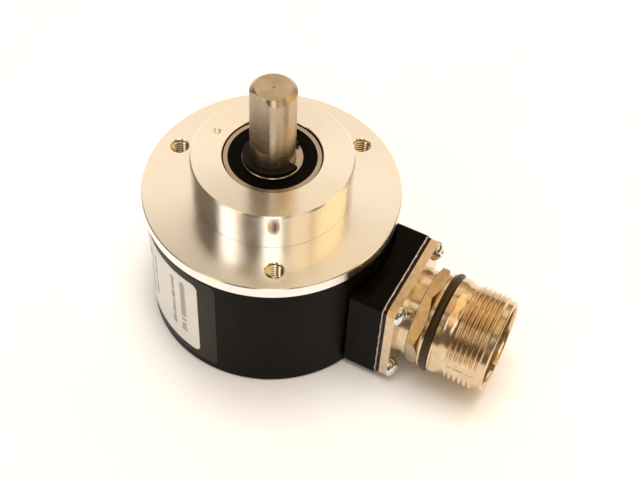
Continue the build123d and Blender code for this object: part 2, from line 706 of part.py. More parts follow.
with BuildPart() as capacitors:
    for capacitor_y in (-4, 4):
        with BuildSketch(Plane.XY.offset(MAIN_BOARD_BOTTOM - CAPACITOR_H)):
            with Locations((CAPACITOR_X, capacitor_y)):
                Circle(CAPACITOR_R)
        extrude(amount=CAPACITOR_H)
    chamfer(circles_at(capacitors, CAPACITOR_R, MAIN_BOARD_BOTTOM - CAPACITOR_H), CAPACITOR_CHAMFER)
save(capacitors, "capacitors")


# ---------------------------------------------------------------- cover
BLOCK_SCREW_OFFSET = 9.5
BLOCK_SCREW_R = 1.2
BLOCK_SCREW_HEAD_R = 1.9
BLOCK_SCREW_SEAT_X = 25.4
BLOCK_SCREW_END_X = 30.0
COVER_SCREW_R = 1.15
COVER_SCREW_HEAD_R = 2.4
COVER_SCREW_HEAD_T = 1.3
COVER_SCREW_LENGTH = 5.0
COVER_SCREW_TAPER = 42
COVER_SCREW_RECESS_SPAN = 2.4
COVER_SCREW_RECESS_W = 0.5
COVER_SCREW_RECESS_DEPTH = 0.7
COVER_CHAMFER = 0.5
# Plane inside the cover, across the connector, from which its side wall is cut.
INSIDE_X = 20.0


def block_screw_points():
    """The four screws that hold the block, in a plane across the connector."""
    return GridLocations(2 * BLOCK_SCREW_OFFSET, 2 * BLOCK_SCREW_OFFSET, 2, 2)


with BuildPart() as cover:
    with BuildSketch(Plane.XY.offset(COVER_BOTTOM)):
        Circle(COVER_R)
    extrude(amount=-FLANGE_T - COVER_BOTTOM)
    chamfer(circles_at(cover, COVER_R, COVER_BOTTOM), COVER_CHAMFER)
    with BuildSketch(Plane.XY.offset(COVER_FLOOR_TOP)):
        Circle(COVER_INNER_R)
    extrude(amount=-FLANGE_T - COVER_FLOOR_TOP, mode=Mode.SUBTRACT)
    # Window for the wires, and the block's screws with spot-faced seats inside.
    with BuildSketch(across_connector(INSIDE_X)):
        Circle(WINDOW_R)
    extrude(amount=10, mode=Mode.SUBTRACT)
    with BuildSketch(across_connector(INSIDE_X)):
        with block_screw_points():
            Circle(BLOCK_SCREW_R + 0.2)
    extrude(amount=10, mode=Mode.SUBTRACT)
    with BuildSketch(across_connector(INSIDE_X)):
        with block_screw_points():
            Circle(BLOCK_SCREW_HEAD_R + 0.2)
    extrude(amount=BLOCK_SCREW_SEAT_X - INSIDE_X, mode=Mode.SUBTRACT)
    # Countersunk screws in the closed end.
    with BuildSketch(Plane.XY.offset(COVER_BOTTOM)):
        with PolarLocations(STANDOFF_CIRCLE_R, 3, start_angle=STANDOFF_FIRST_ANGLE):
            Circle(COVER_SCREW_R + 0.15)
    extrude(amount=COVER_FLOOR, mode=Mode.SUBTRACT)
    with BuildSketch(Plane.XY.offset(COVER_BOTTOM)):
        with PolarLocations(STANDOFF_CIRCLE_R, 3, start_angle=STANDOFF_FIRST_ANGLE):
            Circle(COVER_SCREW_HEAD_R + 0.2)
    extrude(amount=COVER_SCREW_HEAD_T + 0.2, taper=COVER_SCREW_TAPER, mode=Mode.SUBTRACT)
save(cover, "cover")

with BuildPart() as cover_ring:
    with BuildSketch(Plane.XZ):
        with Locations((COVER_INNER_R - COVER_RING_SECTION_R - 0.01, COVER_RING_Z)):
            Circle(COVER_RING_SECTION_R)
    revolve(axis=Axis.Z)
save(cover_ring, "cover_o_ring")

with BuildPart() as cover_screws:
    for screw_index in range(3):
        screw_plane = turned(STANDOFF_FIRST_ANGLE + 120 * screw_index, COVER_BOTTOM + 0.2)
        with BuildSketch(screw_plane):
            with Locations((STANDOFF_CIRCLE_R, 0)):
                Circle(COVER_SCREW_HEAD_R)
        extrude(amount=COVER_SCREW_HEAD_T, taper=COVER_SCREW_TAPER)
        with BuildSketch(screw_plane):
            with Locations((STANDOFF_CIRCLE_R, 0)):
                Circle(COVER_SCREW_R)
        extrude(amount=COVER_SCREW_LENGTH)
        with BuildSketch(screw_plane):
            with Locations((STANDOFF_CIRCLE_R, 0)):
                Rectangle(COVER_SCREW_RECESS_SPAN, COVER_SCREW_RECESS_W)
                Rectangle(COVER_SCREW_RECESS_W, COVER_SCREW_RECESS_SPAN)
        extrude(amount=COVER_SCREW_RECESS_DEPTH, mode=Mode.SUBTRACT)
save(cover_screws, "cover_screws")


# ---------------------------------------------------------------- connector block
BLOCK_CORNER = 1.2
SADDLE_CHAMFER = 0.8
PLATE_SCREW_HOLE_DEPTH = 3.2
BLOCK_SCREW_HEAD_T = 1.5
BLOCK_SCREW_SOCKET_R = 0.9
BLOCK_SCREW_SOCKET_DEPTH = 0.8

with BuildPart() as block:
    block_middle_z = (BLOCK_TOP + BLOCK_BOTTOM) / 2
    block_plane = Plane(origin=(INSIDE_X, 0, block_middle_z), x_dir=(0, 1, 0), z_dir=(1, 0, 0))
    with BuildSketch(block_plane):
        RectangleRounded(2 * BLOCK_HALF_WIDTH, BLOCK_TOP - BLOCK_BOTTOM, BLOCK_CORNER)
    extrude(amount=BLOCK_FACE_X - INSIDE_X)
    # The saddle follows the cover, with its upright edges eased back from it.
    with BuildSketch(Plane.XY.offset(COVER_BOTTOM)):
        Circle(COVER_R + 0.02)
    extrude(amount=-COVER_BOTTOM, mode=Mode.SUBTRACT)
    saddle_edges = block.edges().filter_by(Axis.Z).filter_by_position(Axis.X, INSIDE_X, 27)
    chamfer(saddle_edges, SADDLE_CHAMFER)
    with BuildSketch(across_connector(INSIDE_X)):
        Circle(BLOCK_CAVITY_R)
    extrude(amount=BLOCK_FACE_X - INSIDE_X, mode=Mode.SUBTRACT)
    with BuildSketch(across_connector(INSIDE_X)):
        with block_screw_points():
            Circle(BLOCK_SCREW_R + 0.05)
    extrude(amount=BLOCK_SCREW_END_X - INSIDE_X + 0.2, mode=Mode.SUBTRACT)
    with BuildSketch(across_connector(BLOCK_FACE_X)):
        with plate_screw_points():
            Circle(STUD_HOLE_R)
    extrude(amount=-PLATE_SCREW_HOLE_DEPTH, mode=Mode.SUBTRACT)
save(block, "connector_block")

with BuildPart() as block_screws:
    with BuildSketch(across_connector(BLOCK_SCREW_SEAT_X)):
        with block_screw_points():
            Circle(BLOCK_SCREW_R)
    extrude(amount=BLOCK_SCREW_END_X - BLOCK_SCREW_SEAT_X)
    with BuildSketch(across_connector(BLOCK_SCREW_SEAT_X)):
        with block_screw_points():
            Circle(BLOCK_SCREW_HEAD_R)
    extrude(amount=-BLOCK_SCREW_HEAD_T)
    with BuildSketch(across_connector(BLOCK_SCREW_SEAT_X - BLOCK_SCREW_HEAD_T)):
        with block_screw_points():
            RegularPolygon(radius=BLOCK_SCREW_SOCKET_R, side_count=6)
    extrude(amount=BLOCK_SCREW_SOCKET_DEPTH, mode=Mode.SUBTRACT)
save(block_screws, "block_screws")


def plate_outline(corner, bore_r):
    """The connector plate's square with bevelled corners, a bore and four screw holes."""
    plate_square = Rectangle(2 * PLATE_HALF, 2 * PLATE_HALF)
    chamfer(plate_square.vertices(), corner)
    Circle(bore_r, mode=Mode.SUBTRACT)
    with plate_screw_points():
        Circle(STUD_R + 0.15, mode=Mode.SUBTRACT)


with BuildPart() as shim:
    with BuildSketch(across_connector(BLOCK_FACE_X)):
        plate_outline(PLATE_CORNER, BLOCK_CAVITY_R + 0.1)
    extrude(amount=SHIM_T)
save(shim, "gasket_shim")

with BuildPart() as gasket:
    with BuildSketch(across_connector(SHIM_X)):
        plate_outline(PLATE_CORNER, BLOCK_CAVITY_R + 0.4)
    extrude(amount=GASKET_T)
save(gasket, "connector_gasket")


# ---------------------------------------------------------------- round connector
NECK_BORE_R = 9.85
SPIGOT_TUBE_R = 9.8
SPIGOT_TUBE_BACK_X = 36.0

with BuildPart() as plate:
    with BuildSketch(across_connector(PLATE_BACK_X)):
        plate_outline(PLATE_CORNER, NECK_BORE_R)
    extrude(amount=PLATE_T)
    with BuildSketch(across_connector(PLATE_FRONT_X)):
        ring_profile(NECK_R, NECK_BORE_R)
    extrude(amount=HEX_X - PLATE_FRONT_X)
save(plate, "connector_plate")

SCREW_HEAD_R = 2.35
SCREW_HEAD_T = 1.7
SCREW_LENGTH = 6.0
SCREW_DOME = 0.75
RECESS_SPAN = 2.4
RECESS_WIDTH = 0.55
RECESS_DEPTH = 1.0

with BuildPart() as plate_screws:
    with BuildSketch(across_connector(PLATE_FRONT_X)):
        with plate_screw_points():
            Circle(SCREW_HEAD_R)
    extrude(amount=SCREW_HEAD_T)
    fillet(circles_across(plate_screws, SCREW_HEAD_R, PLATE_FRONT_X + SCREW_HEAD_T), SCREW_DOME)
    with BuildSketch(across_connector(PLATE_FRONT_X)):
        with plate_screw_points():
            Circle(STUD_R)
    extrude(amount=-SCREW_LENGTH)
    with BuildSketch(across_connector(PLATE_FRONT_X + SCREW_HEAD_T)):
        with plate_screw_points():
            Rectangle(RECESS_SPAN, RECESS_WIDTH)
            Rectangle(RECESS_WIDTH, RECESS_SPAN)
    extrude(amount=-RECESS_DEPTH, mode=Mode.SUBTRACT)
save(plate_screws, "plate_screws")

HEX_END_X = HEX_X + HEX_T
HEX_BACK_BEVEL = 0.35
HEX_FRONT_BEVEL = 0.9
HEX_FLAT_R = HEX_CORNER_R * math.cos(math.radians(30))
GROOVE_R = 9.9
COLLAR_X = 43.0
COLLAR_R = 11.35
SHELL_RING_HALF = 0.9
SHELL_RING_SEAT_R = 10.2
BODY_X = SHELL_RING_X + SHELL_RING_HALF
BODY_R = 11.45
TAPER_X = 47.1
NECKED_R = 10.85
INSERT_BORE_R = INSERT_R + 0.05
INSERT_STEP_R = 8.2
INSERT_STEP_T = 0.8
TAPER_MIDDLE = (48.1, 10.98)
MOUTH_CHAMFER = 0.3
RIM_CHAMFER = 0.3
MILLED_FLAT_X = BODY_X + 0.6
KEY_ANGLE = 274.0
KEY_W = 1.5
KEY_DEPTH = 0.35
KEY_LENGTH = 5.0
CONTACT_TIP_FILLET = 0.35

with BuildPart() as shell:
    with BuildSketch(across_connector(HEX_X)):
        RegularPolygon(radius=HEX_CORNER_R, side_count=6, rotation=HEX_TURN)
    extrude(amount=HEX_T)
    # Both ends of the hexagon are turned to a bevel, which shows at its corners.
    with BuildSketch(CONNECTOR_SECTION):
        with BuildLine():
            Polyline(
                (HEX_X, 0),
                (HEX_X, HEX_FLAT_R),
                (HEX_X + HEX_BACK_BEVEL, HEX_CORNER_R),
                (HEX_END_X - HEX_FRONT_BEVEL, HEX_CORNER_R),
                (HEX_END_X, HEX_FLAT_R),
                (HEX_END_X, 0),
                close=True,
            )
        make_face()
    revolve(axis=CONNECTOR_AXIS, mode=Mode.INTERSECT)
    with BuildSketch(CONNECTOR_SECTION):
        with BuildLine():
            Polyline(
                (TAPER_X, BODY_R),
                (BODY_X, BODY_R),
                (BODY_X, SHELL_RING_SEAT_R),
                (SHELL_RING_X - SHELL_RING_HALF, SHELL_RING_SEAT_R),
                (SHELL_RING_X - SHELL_RING_HALF, COLLAR_R),
                (COLLAR_X, COLLAR_R),
                (COLLAR_X, GROOVE_R),
                (HEX_X, GROOVE_R),
                (HEX_X, SPIGOT_TUBE_R),
                (SPIGOT_TUBE_BACK_X, SPIGOT_TUBE_R),
                (SPIGOT_TUBE_BACK_X, 0),
                (RIM_X, 0),
                (RIM_X, RIM_R - RIM_CHAMFER),
                (RIM_X - RIM_CHAMFER, RIM_R),
                (THREAD_END_X + 0.3, RIM_R),
                (THREAD_END_X, THREAD_R),
                (THREAD_START_X + 0.6, THREAD_R),
                (THREAD_START_X, NECKED_R),
            )
            # Hollow curve from the body down to the run-out of the thread.
            ThreePointArc((THREAD_START_X, NECKED_R), TAPER_MIDDLE, (TAPER_X, BODY_R))
        make_face()
    revolve(axis=CONNECTOR_AXIS)
    with BuildSketch(across_connector(SPIGOT_TUBE_BACK_X)):
        Circle(INSERT_BORE_R)
    extrude(amount=RIM_X - SPIGOT_TUBE_BACK_X, mode=Mode.SUBTRACT)
    with BuildSketch(across_connector(INSERT_FACE_X)):
        Circle(MOUTH_R)
    extrude(amount=RIM_X - INSERT_FACE_X, mode=Mode.SUBTRACT)
    chamfer(circles_across(shell, MOUTH_R, RIM_X), MOUTH_CHAMFER)
    # Flat milled along one side of the thread.
    with BuildSketch(across_connector(MILLED_FLAT_X)):
        with Locations((-SHELL_FLAT_DISTANCE - 2, 0)):
            Rectangle(4, 2 * THREAD_R)
    extrude(amount=RIM_X - BODY_X, mode=Mode.SUBTRACT)
    # Keyway in the mouth.
    key_angle = math.radians(KEY_ANGLE)
    key_direction = (0, math.cos(key_angle), math.sin(key_angle))
    key_plane = Plane(origin=(RIM_X, 0, CONNECTOR_Z), x_dir=key_direction, z_dir=(1, 0, 0))
    with BuildSketch(key_plane):
        with Locations((MOUTH_R, 0)):
            Rectangle(2 * KEY_DEPTH, KEY_W)
    extrude(amount=-KEY_LENGTH, mode=Mode.SUBTRACT)
save(shell, "connector_shell")

with BuildPart() as shell_ring:
    with BuildSketch(CONNECTOR_SECTION):
        with Locations((SHELL_RING_X, SHELL_RING_SEAT_R + SHELL_RING_SECTION_R)):
            Circle(SHELL_RING_SECTION_R)
    revolve(axis=CONNECTOR_AXIS)
save(shell_ring, "connector_o_ring")


def contact_points(outer_only=False):
    """(y, z) of each contact about the connector's axis, the first one at the top."""
    circles = [(OUTER_PIN_COUNT, OUTER_PIN_CIRCLE_R)]
    if not outer_only:
        circles.append((INNER_PIN_COUNT, INNER_PIN_CIRCLE_R))
    points = []
    for count, circle_r in circles:
        for step in range(count):
            turn = 2 * math.pi * step / count
            points.append((circle_r * math.sin(turn), circle_r * math.cos(turn)))
    return points


with BuildPart() as contacts:
    with BuildSketch(across_connector(SOLDER_CUP_X)):
        with Locations(*contact_points()):
            Circle(SOLDER_CUP_R)
    extrude(amount=INSERT_BACK_X - SOLDER_CUP_X)
    with BuildSketch(across_connector(INSERT_BACK_X)):
        with Locations(*contact_points()):
            Circle(PIN_R)
    extrude(amount=PIN_TIP_X - INSERT_BACK_X)
    fillet(circles_across(contacts, PIN_R, PIN_TIP_X), CONTACT_TIP_FILLET)
save(contacts, "contact_pins")

with BuildPart() as insert:
    with BuildSketch(across_connector(INSERT_BACK_X)):
        Circle(INSERT_R)
    extrude(amount=INSERT_FACE_X - INSERT_BACK_X)
    with BuildSketch(across_connector(INSERT_FACE_X)):
        Circle(INSERT_STEP_R)
    extrude(amount=INSERT_STEP_T)
    with BuildSketch(across_connector(INSERT_BACK_X)):
        with Locations(*contact_points()):
            Circle(PIN_R + 0.02)
    extrude(amount=INSERT_FACE_X - INSERT_BACK_X + 1, mode=Mode.SUBTRACT)
save(insert, "contact_insert")


# ---------------------------------------------------------------- wires from contacts to board
WIRE_R = 0.4
WIRE_PITCH = 1.35
WIRE_PAD_X = 19.5
WIRE_TURN_X = 27.0
WIRE_CUP_REACH = 3.0
WIRE_PAD_RISE = 4.0
WIRE_BEND_R = 1.2
SUPPLY_WIRES = (0, 8)


def wire_route(order, contact):
    """Corner points of one wire, from its solder cup to its pad on the main board."""
    contact_y, contact_z = contact
    pad_y = WIRE_PITCH * (order - (OUTER_PIN_COUNT - 1) / 2)
    return (
        (SOLDER_CUP_X, contact_y, CONNECTOR_Z + contact_z),
        (SOLDER_CUP_X - WIRE_CUP_REACH, contact_y, CONNECTOR_Z + contact_z),
        (WIRE_TURN_X, pad_y, CONNECTOR_Z + 0.4 * contact_z),
        (WIRE_PAD_X, pad_y, MAIN_BOARD_TOP + WIRE_PAD_RISE),
        (WIRE_PAD_X, pad_y, MAIN_BOARD_TOP),
    )


def wires(label, chosen):
    """Tubes for the wires whose place in the row, counted along Y, is in chosen."""
    row = sorted(contact_points(outer_only=True))
    with BuildPart() as tubes:
        for order in chosen:
            with BuildLine() as route:
                FilletPolyline(*wire_route(order, row[order]), radius=WIRE_BEND_R)
            with BuildSketch(Plane(origin=route.line @ 0, z_dir=route.line % 0)):
                Circle(WIRE_R)
            sweep(path=route.line)
    save(tubes, label)


wires("supply_wires", SUPPLY_WIRES)
wires("signal_wires", [order for order in range(OUTER_PIN_COUNT) if order not in SUPPLY_WIRES])


# ---------------------------------------------------------------- labels on the cover
def wrapped_label(label, inner_r, thickness, start_angle, arc, bottom, top, corner):
    """Thin sheet bent round the cover, with rounded corners."""
    start = math.radians(start_angle)
    section = Plane(
        origin=(0, 0, 0),
        x_dir=(math.cos(start), math.sin(start), 0),
        z_dir=(math.sin(start), -math.cos(start), 0),
    )
    with BuildPart() as sheet:
        with BuildSketch(section):
            with Locations((inner_r + thickness / 2, (bottom + top) / 2)):
                Rectangle(thickness, top - bottom)
        revolve(axis=Axis.Z, revolution_arc=arc)
        corners = sheet.edges().filter_by(lambda edge: edge.length < 1.5 * thickness)
        corners = corners.filter_by(lambda edge: abs(edge.tangent_at(0).Z) < 0.1)
        fillet(corners, corner)
    save(sheet, label)


wrapped_label("label_backing", COVER_R, BACKING_T, -86.8, -150, -34.2, -4.7, 1.5)
wrapped_label("label", COVER_R + BACKING_T, LABEL_T, -96.2, -128, -32.0, -7.1, 1.7)
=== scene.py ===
import json
import math
import random

import bmesh
import bpy
from mathutils import Matrix, Vector


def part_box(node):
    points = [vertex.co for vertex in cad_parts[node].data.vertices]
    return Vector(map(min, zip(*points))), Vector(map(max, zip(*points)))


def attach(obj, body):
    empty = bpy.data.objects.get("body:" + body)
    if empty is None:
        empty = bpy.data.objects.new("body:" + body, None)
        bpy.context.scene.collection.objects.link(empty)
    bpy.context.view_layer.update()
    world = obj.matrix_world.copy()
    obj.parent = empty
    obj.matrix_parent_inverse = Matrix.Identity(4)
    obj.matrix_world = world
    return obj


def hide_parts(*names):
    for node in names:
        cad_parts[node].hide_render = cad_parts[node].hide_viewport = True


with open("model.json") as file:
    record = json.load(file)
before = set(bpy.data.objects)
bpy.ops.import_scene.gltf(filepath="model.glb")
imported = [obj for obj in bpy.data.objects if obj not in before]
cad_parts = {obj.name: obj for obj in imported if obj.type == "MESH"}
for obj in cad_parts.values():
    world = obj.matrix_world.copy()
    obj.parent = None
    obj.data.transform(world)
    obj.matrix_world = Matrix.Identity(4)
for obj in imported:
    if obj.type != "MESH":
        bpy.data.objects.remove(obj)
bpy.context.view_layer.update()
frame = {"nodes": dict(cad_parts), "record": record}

NODES = frame["nodes"]
MM = 0.001

# ---------------------------------------------------------------- places taken from the frame
FLOOR_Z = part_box("cover")[0][2]
PLATE_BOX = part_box("connector_plate")
SHELL_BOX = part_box("connector_shell")
COVER_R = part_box("cover")[1][0]
CONNECTOR_Z = (PLATE_BOX[0][2] + PLATE_BOX[1][2]) / 2
RIM_X = SHELL_BOX[1][0]
SHIM_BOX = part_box("gasket_shim")


# ---------------------------------------------------------------- mesh helpers
def add_object(name, mesh, body, material, crease_degrees=30):
    """Put a mesh in the scene, shade it, paint it and make it ride on a CAD body."""
    piece = bpy.data.objects.new(name, mesh)
    bpy.context.scene.collection.objects.link(piece)
    mesh.materials.append(material)
    for polygon in mesh.polygons:
        polygon.use_smooth = True
    mesh.set_sharp_from_angle(angle=math.radians(crease_degrees))
    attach(piece, body)
    return piece


def mesh_from_rings(name, rings, closed=False):
    """Skin a list of equally long closed rings of points; closed joins last to first."""
    count = len(rings[0])
    points = [point for ring in rings for point in ring]
    faces = []
    pairs = len(rings) if closed else len(rings) - 1
    for row in range(pairs):
        here = row * count
        there = ((row + 1) % len(rings)) * count
        for column in range(count):
            after = (column + 1) % count
            faces.append((here + column, here + after, there + after, there + column))
    mesh = bpy.data.meshes.new(name)
    mesh.from_pydata(points, [], faces)
    mesh.validate()
    mesh.update()
    return mesh


def face_outwards(mesh):
    """Make a closed mesh's normals point out."""
    work = bmesh.new()
    work.from_mesh(mesh)
    bmesh.ops.recalc_face_normals(work, faces=work.faces)
    work.to_mesh(mesh)
    work.free()


def close_ends(mesh):
    """Cap an open skin at both ends and make its normals point out."""
    work = bmesh.new()
    work.from_mesh(mesh)
    bmesh.ops.holes_fill(work, edges=work.edges)
    bmesh.ops.recalc_face_normals(work, faces=work.faces)
    work.to_mesh(mesh)
    work.free()


def join_meshes(name, meshes):
    """One mesh made of several."""
    work = bmesh.new()
    for mesh in meshes:
        work.from_mesh(mesh)
        bpy.data.meshes.remove(mesh)
    joined = bpy.data.meshes.new(name)
    work.to_mesh(joined)
    work.free()
    return joined


# ---------------------------------------------------------------- material helpers
class Finish:
    """A node material under construction, with object coordinates in millimetres."""

    def __init__(self, name, metallic=0.0, ior=1.5, coat=0.0, coat_roughness=0.1):
        self.material = bpy.data.materials.new(name)
        self.material.use_nodes = True
        self.tree = self.material.node_tree
        self.shader = self.tree.nodes["Principled BSDF"]
        self.shader.inputs["Metallic"].default_value = metallic
        self.shader.inputs["IOR"].default_value = ior
        self.shader.inputs["Coat Weight"].default_value = coat
        self.shader.inputs["Coat Roughness"].default_value = coat_roughness
        place = self.tree.nodes.new("ShaderNodeTexCoord")
        scale = self.tree.nodes.new("ShaderNodeMapping")
        scale.inputs["Scale"].default_value = (1 / MM, 1 / MM, 1 / MM)
        self.tree.links.new(place.outputs["Object"], scale.inputs["Vector"])
        self.place = scale.outputs["Vector"]

    def link(self, source, target):
        self.tree.links.new(source, target)

    def stretched(self, stretch=(1, 1, 1), offset=(0, 0, 0)):
        mapping = self.tree.nodes.new("ShaderNodeMapping")
        mapping.inputs["Scale"].default_value = stretch
        mapping.inputs["Location"].default_value = offset
        self.link(self.place, mapping.inputs["Vector"])
        return mapping.outputs["Vector"]

    def noise(self, size, detail=3.0, stretch=(1, 1, 1), offset=(0, 0, 0)):
        """Noise whose features are about size millimetres, stretched by axis."""
        texture = self.tree.nodes.new("ShaderNodeTexNoise")
        texture.inputs["Scale"].default_value = 1 / size
        texture.inputs["Detail"].default_value = detail
        self.link(self.stretched(stretch, offset), texture.inputs["Vector"])
        return texture.outputs["Fac"]

    def rings(self, period, direction="Z", offset=(0, 0, 0), distortion=0.6):
        """Concentric marks round an axis, a period of millimetres apart."""
        texture = self.tree.nodes.new("ShaderNodeTexWave")
        texture.wave_type = "RINGS"
        texture.rings_direction = direction
        texture.inputs["Scale"].default_value = math.pi / 10 / period
        texture.inputs["Distortion"].default_value = distortion
        texture.inputs["Detail"].default_value = 2.0
        texture.inputs["Detail Scale"].default_value = 0.6
        self.link(self.stretched(offset=offset), texture.inputs["Vector"])
        return texture.outputs["Fac"]

    def bands(self, period, direction="Z", distortion=0.6):
        """Straight marks square to an axis, a period of millimetres apart."""
        texture = self.tree.nodes.new("ShaderNodeTexWave")
        texture.wave_type = "BANDS"
        texture.bands_direction = direction
        texture.inputs["Scale"].default_value = math.pi / 10 / period
        texture.inputs["Distortion"].default_value = distortion
        texture.inputs["Detail"].default_value = 2.0
        self.link(self.place, texture.inputs["Vector"])
        return texture.outputs["Fac"]

    def flatness(self):
        """1 on faces square to Z, 0 on upright walls."""
        facing = self.tree.nodes.new("ShaderNodeTexCoord")
        parts = self.tree.nodes.new("ShaderNodeSeparateXYZ")
        self.link(facing.outputs["Normal"], parts.inputs["Vector"])
        return self.math("ABSOLUTE", parts.outputs["Z"], 0.0)

    def radius(self):
        """Distance from the Z axis in millimetres."""
        flat = self.tree.nodes.new("ShaderNodeVectorMath")
        flat.operation = "LENGTH"
        self.link(self.stretched((1, 1, 0)), flat.inputs[0])
        return flat.outputs["Value"]

    def math(self, operation, first, second):
        node = self.tree.nodes.new("ShaderNodeMath")
        node.operation = operation
        for socket, value in zip(node.inputs, (first, second)):
            if isinstance(value, (int, float)):
                socket.default_value = value
            else:
                self.link(value, socket)
        return node.outputs[0]

    def stops(self, factor, *stops):
        """Colour ramp through (position, colour) stops."""
        ramp = self.tree.nodes.new("ShaderNodeValToRGB")
        elements = ramp.color_ramp.elements
        while len(elements) < len(stops):
            elements.new(0.5)
        for element, (position, colour) in zip(elements, stops):
            element.position = position
            element.color = (*colour, 1.0)
        self.link(factor, ramp.inputs["Fac"])
        return ramp.outputs["Color"]

    def span(self, factor, low, high, start=0.3, end=0.7):
        """Map a factor onto a number between low and high."""
        node = self.tree.nodes.new("ShaderNodeMapRange")
        node.inputs["From Min"].default_value = start
        node.inputs["From Max"].default_value = end
        node.inputs["To Min"].default_value = low
        node.inputs["To Max"].default_value = high
        self.link(factor, node.inputs["Value"])
        return node.outputs["Result"]

    def mix(self, factor, first, second):
        node = self.tree.nodes.new("ShaderNodeMix")
        node.data_type = "RGBA"
        self.link(factor, node.inputs["Factor"])
        for socket, value in ((node.inputs["A"], first), (node.inputs["B"], second)):
            if isinstance(value, tuple):
                socket.default_value = (*value, 1.0)
            else:
                self.link(value, socket)
        return node.outputs["Result"]

    def colour(self, source):
        self.link(source, self.shader.inputs["Base Color"])

    def roughness(self, source):
        self.link(source, self.shader.inputs["Roughness"])

    def bump(self, height, strength, depth, before=None):
        """Bump of depth millimetres; before is a bump to add it to."""
        node = self.tree.nodes.new("ShaderNodeBump")
        node.inputs["Strength"].default_value = strength
        node.inputs["Distance"].default_value = depth * MM
        self.link(height, node.inputs["Height"])
        if before is not None:
            self.link(before, node.inputs["Normal"])
        return node.outputs["Normal"]

    def normal(self, source):
        self.link(source, self.shader.inputs["Normal"])

    def brushed_round(self, amount, axis="Z"):
        """Stretch reflections across marks that run round an axis."""
        self.shader.inputs["Anisotropic"].default_value = amount
        self.shader.inputs["Anisotropic Rotation"].default_value = 0.25
        tangent = self.tree.nodes.new("ShaderNodeTangent")
        tangent.direction_type = "RADIAL"
        tangent.axis = axis
        self.link(tangent.outputs["Tangent"], self.shader.inputs["Tangent"])


CONNECTOR_OFFSET = (0, 0, -CONNECTOR_Z / MM)


# ---------------------------------------------------------------- materials
def turned_aluminium():
    """Machined aluminium with fine turning marks and cloudy patches."""
    finish = Finish("turned aluminium", metallic=1.0)
    cloud = finish.noise(9.0, detail=4)
    finish.colour(finish.stops(cloud, (0.3, (0.86, 0.84, 0.82)), (0.7, (0.92, 0.90, 0.88))))
    grain = finish.noise(0.5, detail=5)
    rough = finish.math("ADD", finish.span(cloud, 0.13, 0.18), finish.span(grain, -0.01, 0.01))
    coarser = finish.math("MULTIPLY", finish.flatness(), 0.10)
    finish.roughness(finish.math("ADD", rough, coarser))
    face_marks = finish.rings(0.5, distortion=0.2)
    wall_marks = finish.bands(0.4, distortion=0.2)
    marks = finish.math("ADD", face_marks, wall_marks)
    finish.normal(finish.bump(marks, 0.015, 0.003))
    finish.brushed_round(0.65)
    return finish.material


def ground_steel():
    """Ground stainless shaft: close marks round the axis and a slightly cloudy sheen."""
    finish = Finish("ground steel", metallic=1.0)
    cloud = finish.noise(2.5, detail=4, stretch=(1, 1, 0.4))
    finish.colour(finish.stops(cloud, (0.3, (0.43, 0.36, 0.27)), (0.7, (0.52, 0.44, 0.34))))
    marks = finish.noise(0.22, detail=4, stretch=(0.12, 0.12, 3.0))
    finish.roughness(finish.span(marks, 0.23, 0.31))
    end_marks = finish.rings(0.22)
    fine = finish.bump(marks, 0.04, 0.004)
    finish.normal(finish.bump(end_marks, 0.05, 0.003, before=fine))
    finish.brushed_round(0.75)
    return finish.material


def bearing_steel():
    """Bright ground ring with faint marks round it; its outer edge carries painted shade for the gap
    against the bore.
    """
    finish = Finish("bearing steel", metallic=1.0)
    cloud = finish.noise(1.5, detail=3)
    steel = finish.stops(cloud, (0.3, (0.40, 0.34, 0.29)), (0.7, (0.48, 0.42, 0.36)))
    # Painted shade: past 10.7 mm from the axis the ring is coloured near black, standing for the shade in
    # the gap between the ring and the bore.
    painted_gap_shade = finish.span(finish.radius(), 0.0, 1.0, start=10.70, end=10.80)
    finish.colour(finish.mix(painted_gap_shade, steel, (0.030, 0.018, 0.010)))
    marks = finish.rings(0.12)
    finish.roughness(finish.span(cloud, 0.22, 0.32))
    finish.normal(finish.bump(marks, 0.1, 0.004))
    finish.brushed_round(0.4)
    return finish.material


def black_spring_steel():
    """Phosphated spring steel: black, slightly oily, with a fine tooth."""
    finish = Finish("black spring steel", ior=1.25)
    tooth = finish.noise(0.18, detail=5)
    finish.colour(finish.stops(tooth, (0.3, (0.004, 0.003, 0.002)), (0.75, (0.012, 0.009, 0.006))))
    finish.roughness(finish.span(tooth, 0.34, 0.5))
    finish.normal(finish.bump(tooth, 0.25, 0.01))
    return finish.material


def black_paint(name, low, high, rough_low, rough_high, dust):
    """Smooth black coat: slight waviness, fine grain, a little pale dust and rubbed spots."""
    finish = Finish(name, ior=1.13)
    broad = finish.noise(7.0, detail=3)
    grain = finish.noise(0.25, detail=4)
    body = finish.stops(broad, (0.3, low), (0.7, high))
    specks = finish.noise(0.55, detail=6, offset=(3, 7, 1))
    speck_mask = finish.span(specks, 0.0, dust, start=0.70, end=0.78)
    finish.colour(finish.mix(speck_mask, body, (0.30, 0.27, 0.23)))
    rough = finish.span(broad, rough_low, rough_high)
    finish.roughness(finish.math("ADD", rough, finish.span(grain, -0.03, 0.04)))
    wavy = finish.bump(broad, 0.05, 0.05)
    finish.normal(finish.bump(grain, 0.10, 0.008, before=wavy))
    return finish.material


def rubber(name, low, high, size=0.35, ior=1.22, sheen=(1.0, 1.0, 1.0)):
    """Moulded rubber: dull sheen with a soft mottle and a few lighter flecks."""
    finish = Finish(name, ior=ior)
    finish.shader.inputs["Specular Tint"].default_value = (*sheen, 1.0)
    mottle = finish.noise(size, detail=5)
    finish.colour(finish.stops(mottle, (0.35, low), (0.75, high)))
    finish.roughness(finish.span(mottle, 0.34, 0.48))
    finish.normal(finish.bump(mottle, 0.18, 0.012))
    return finish.material


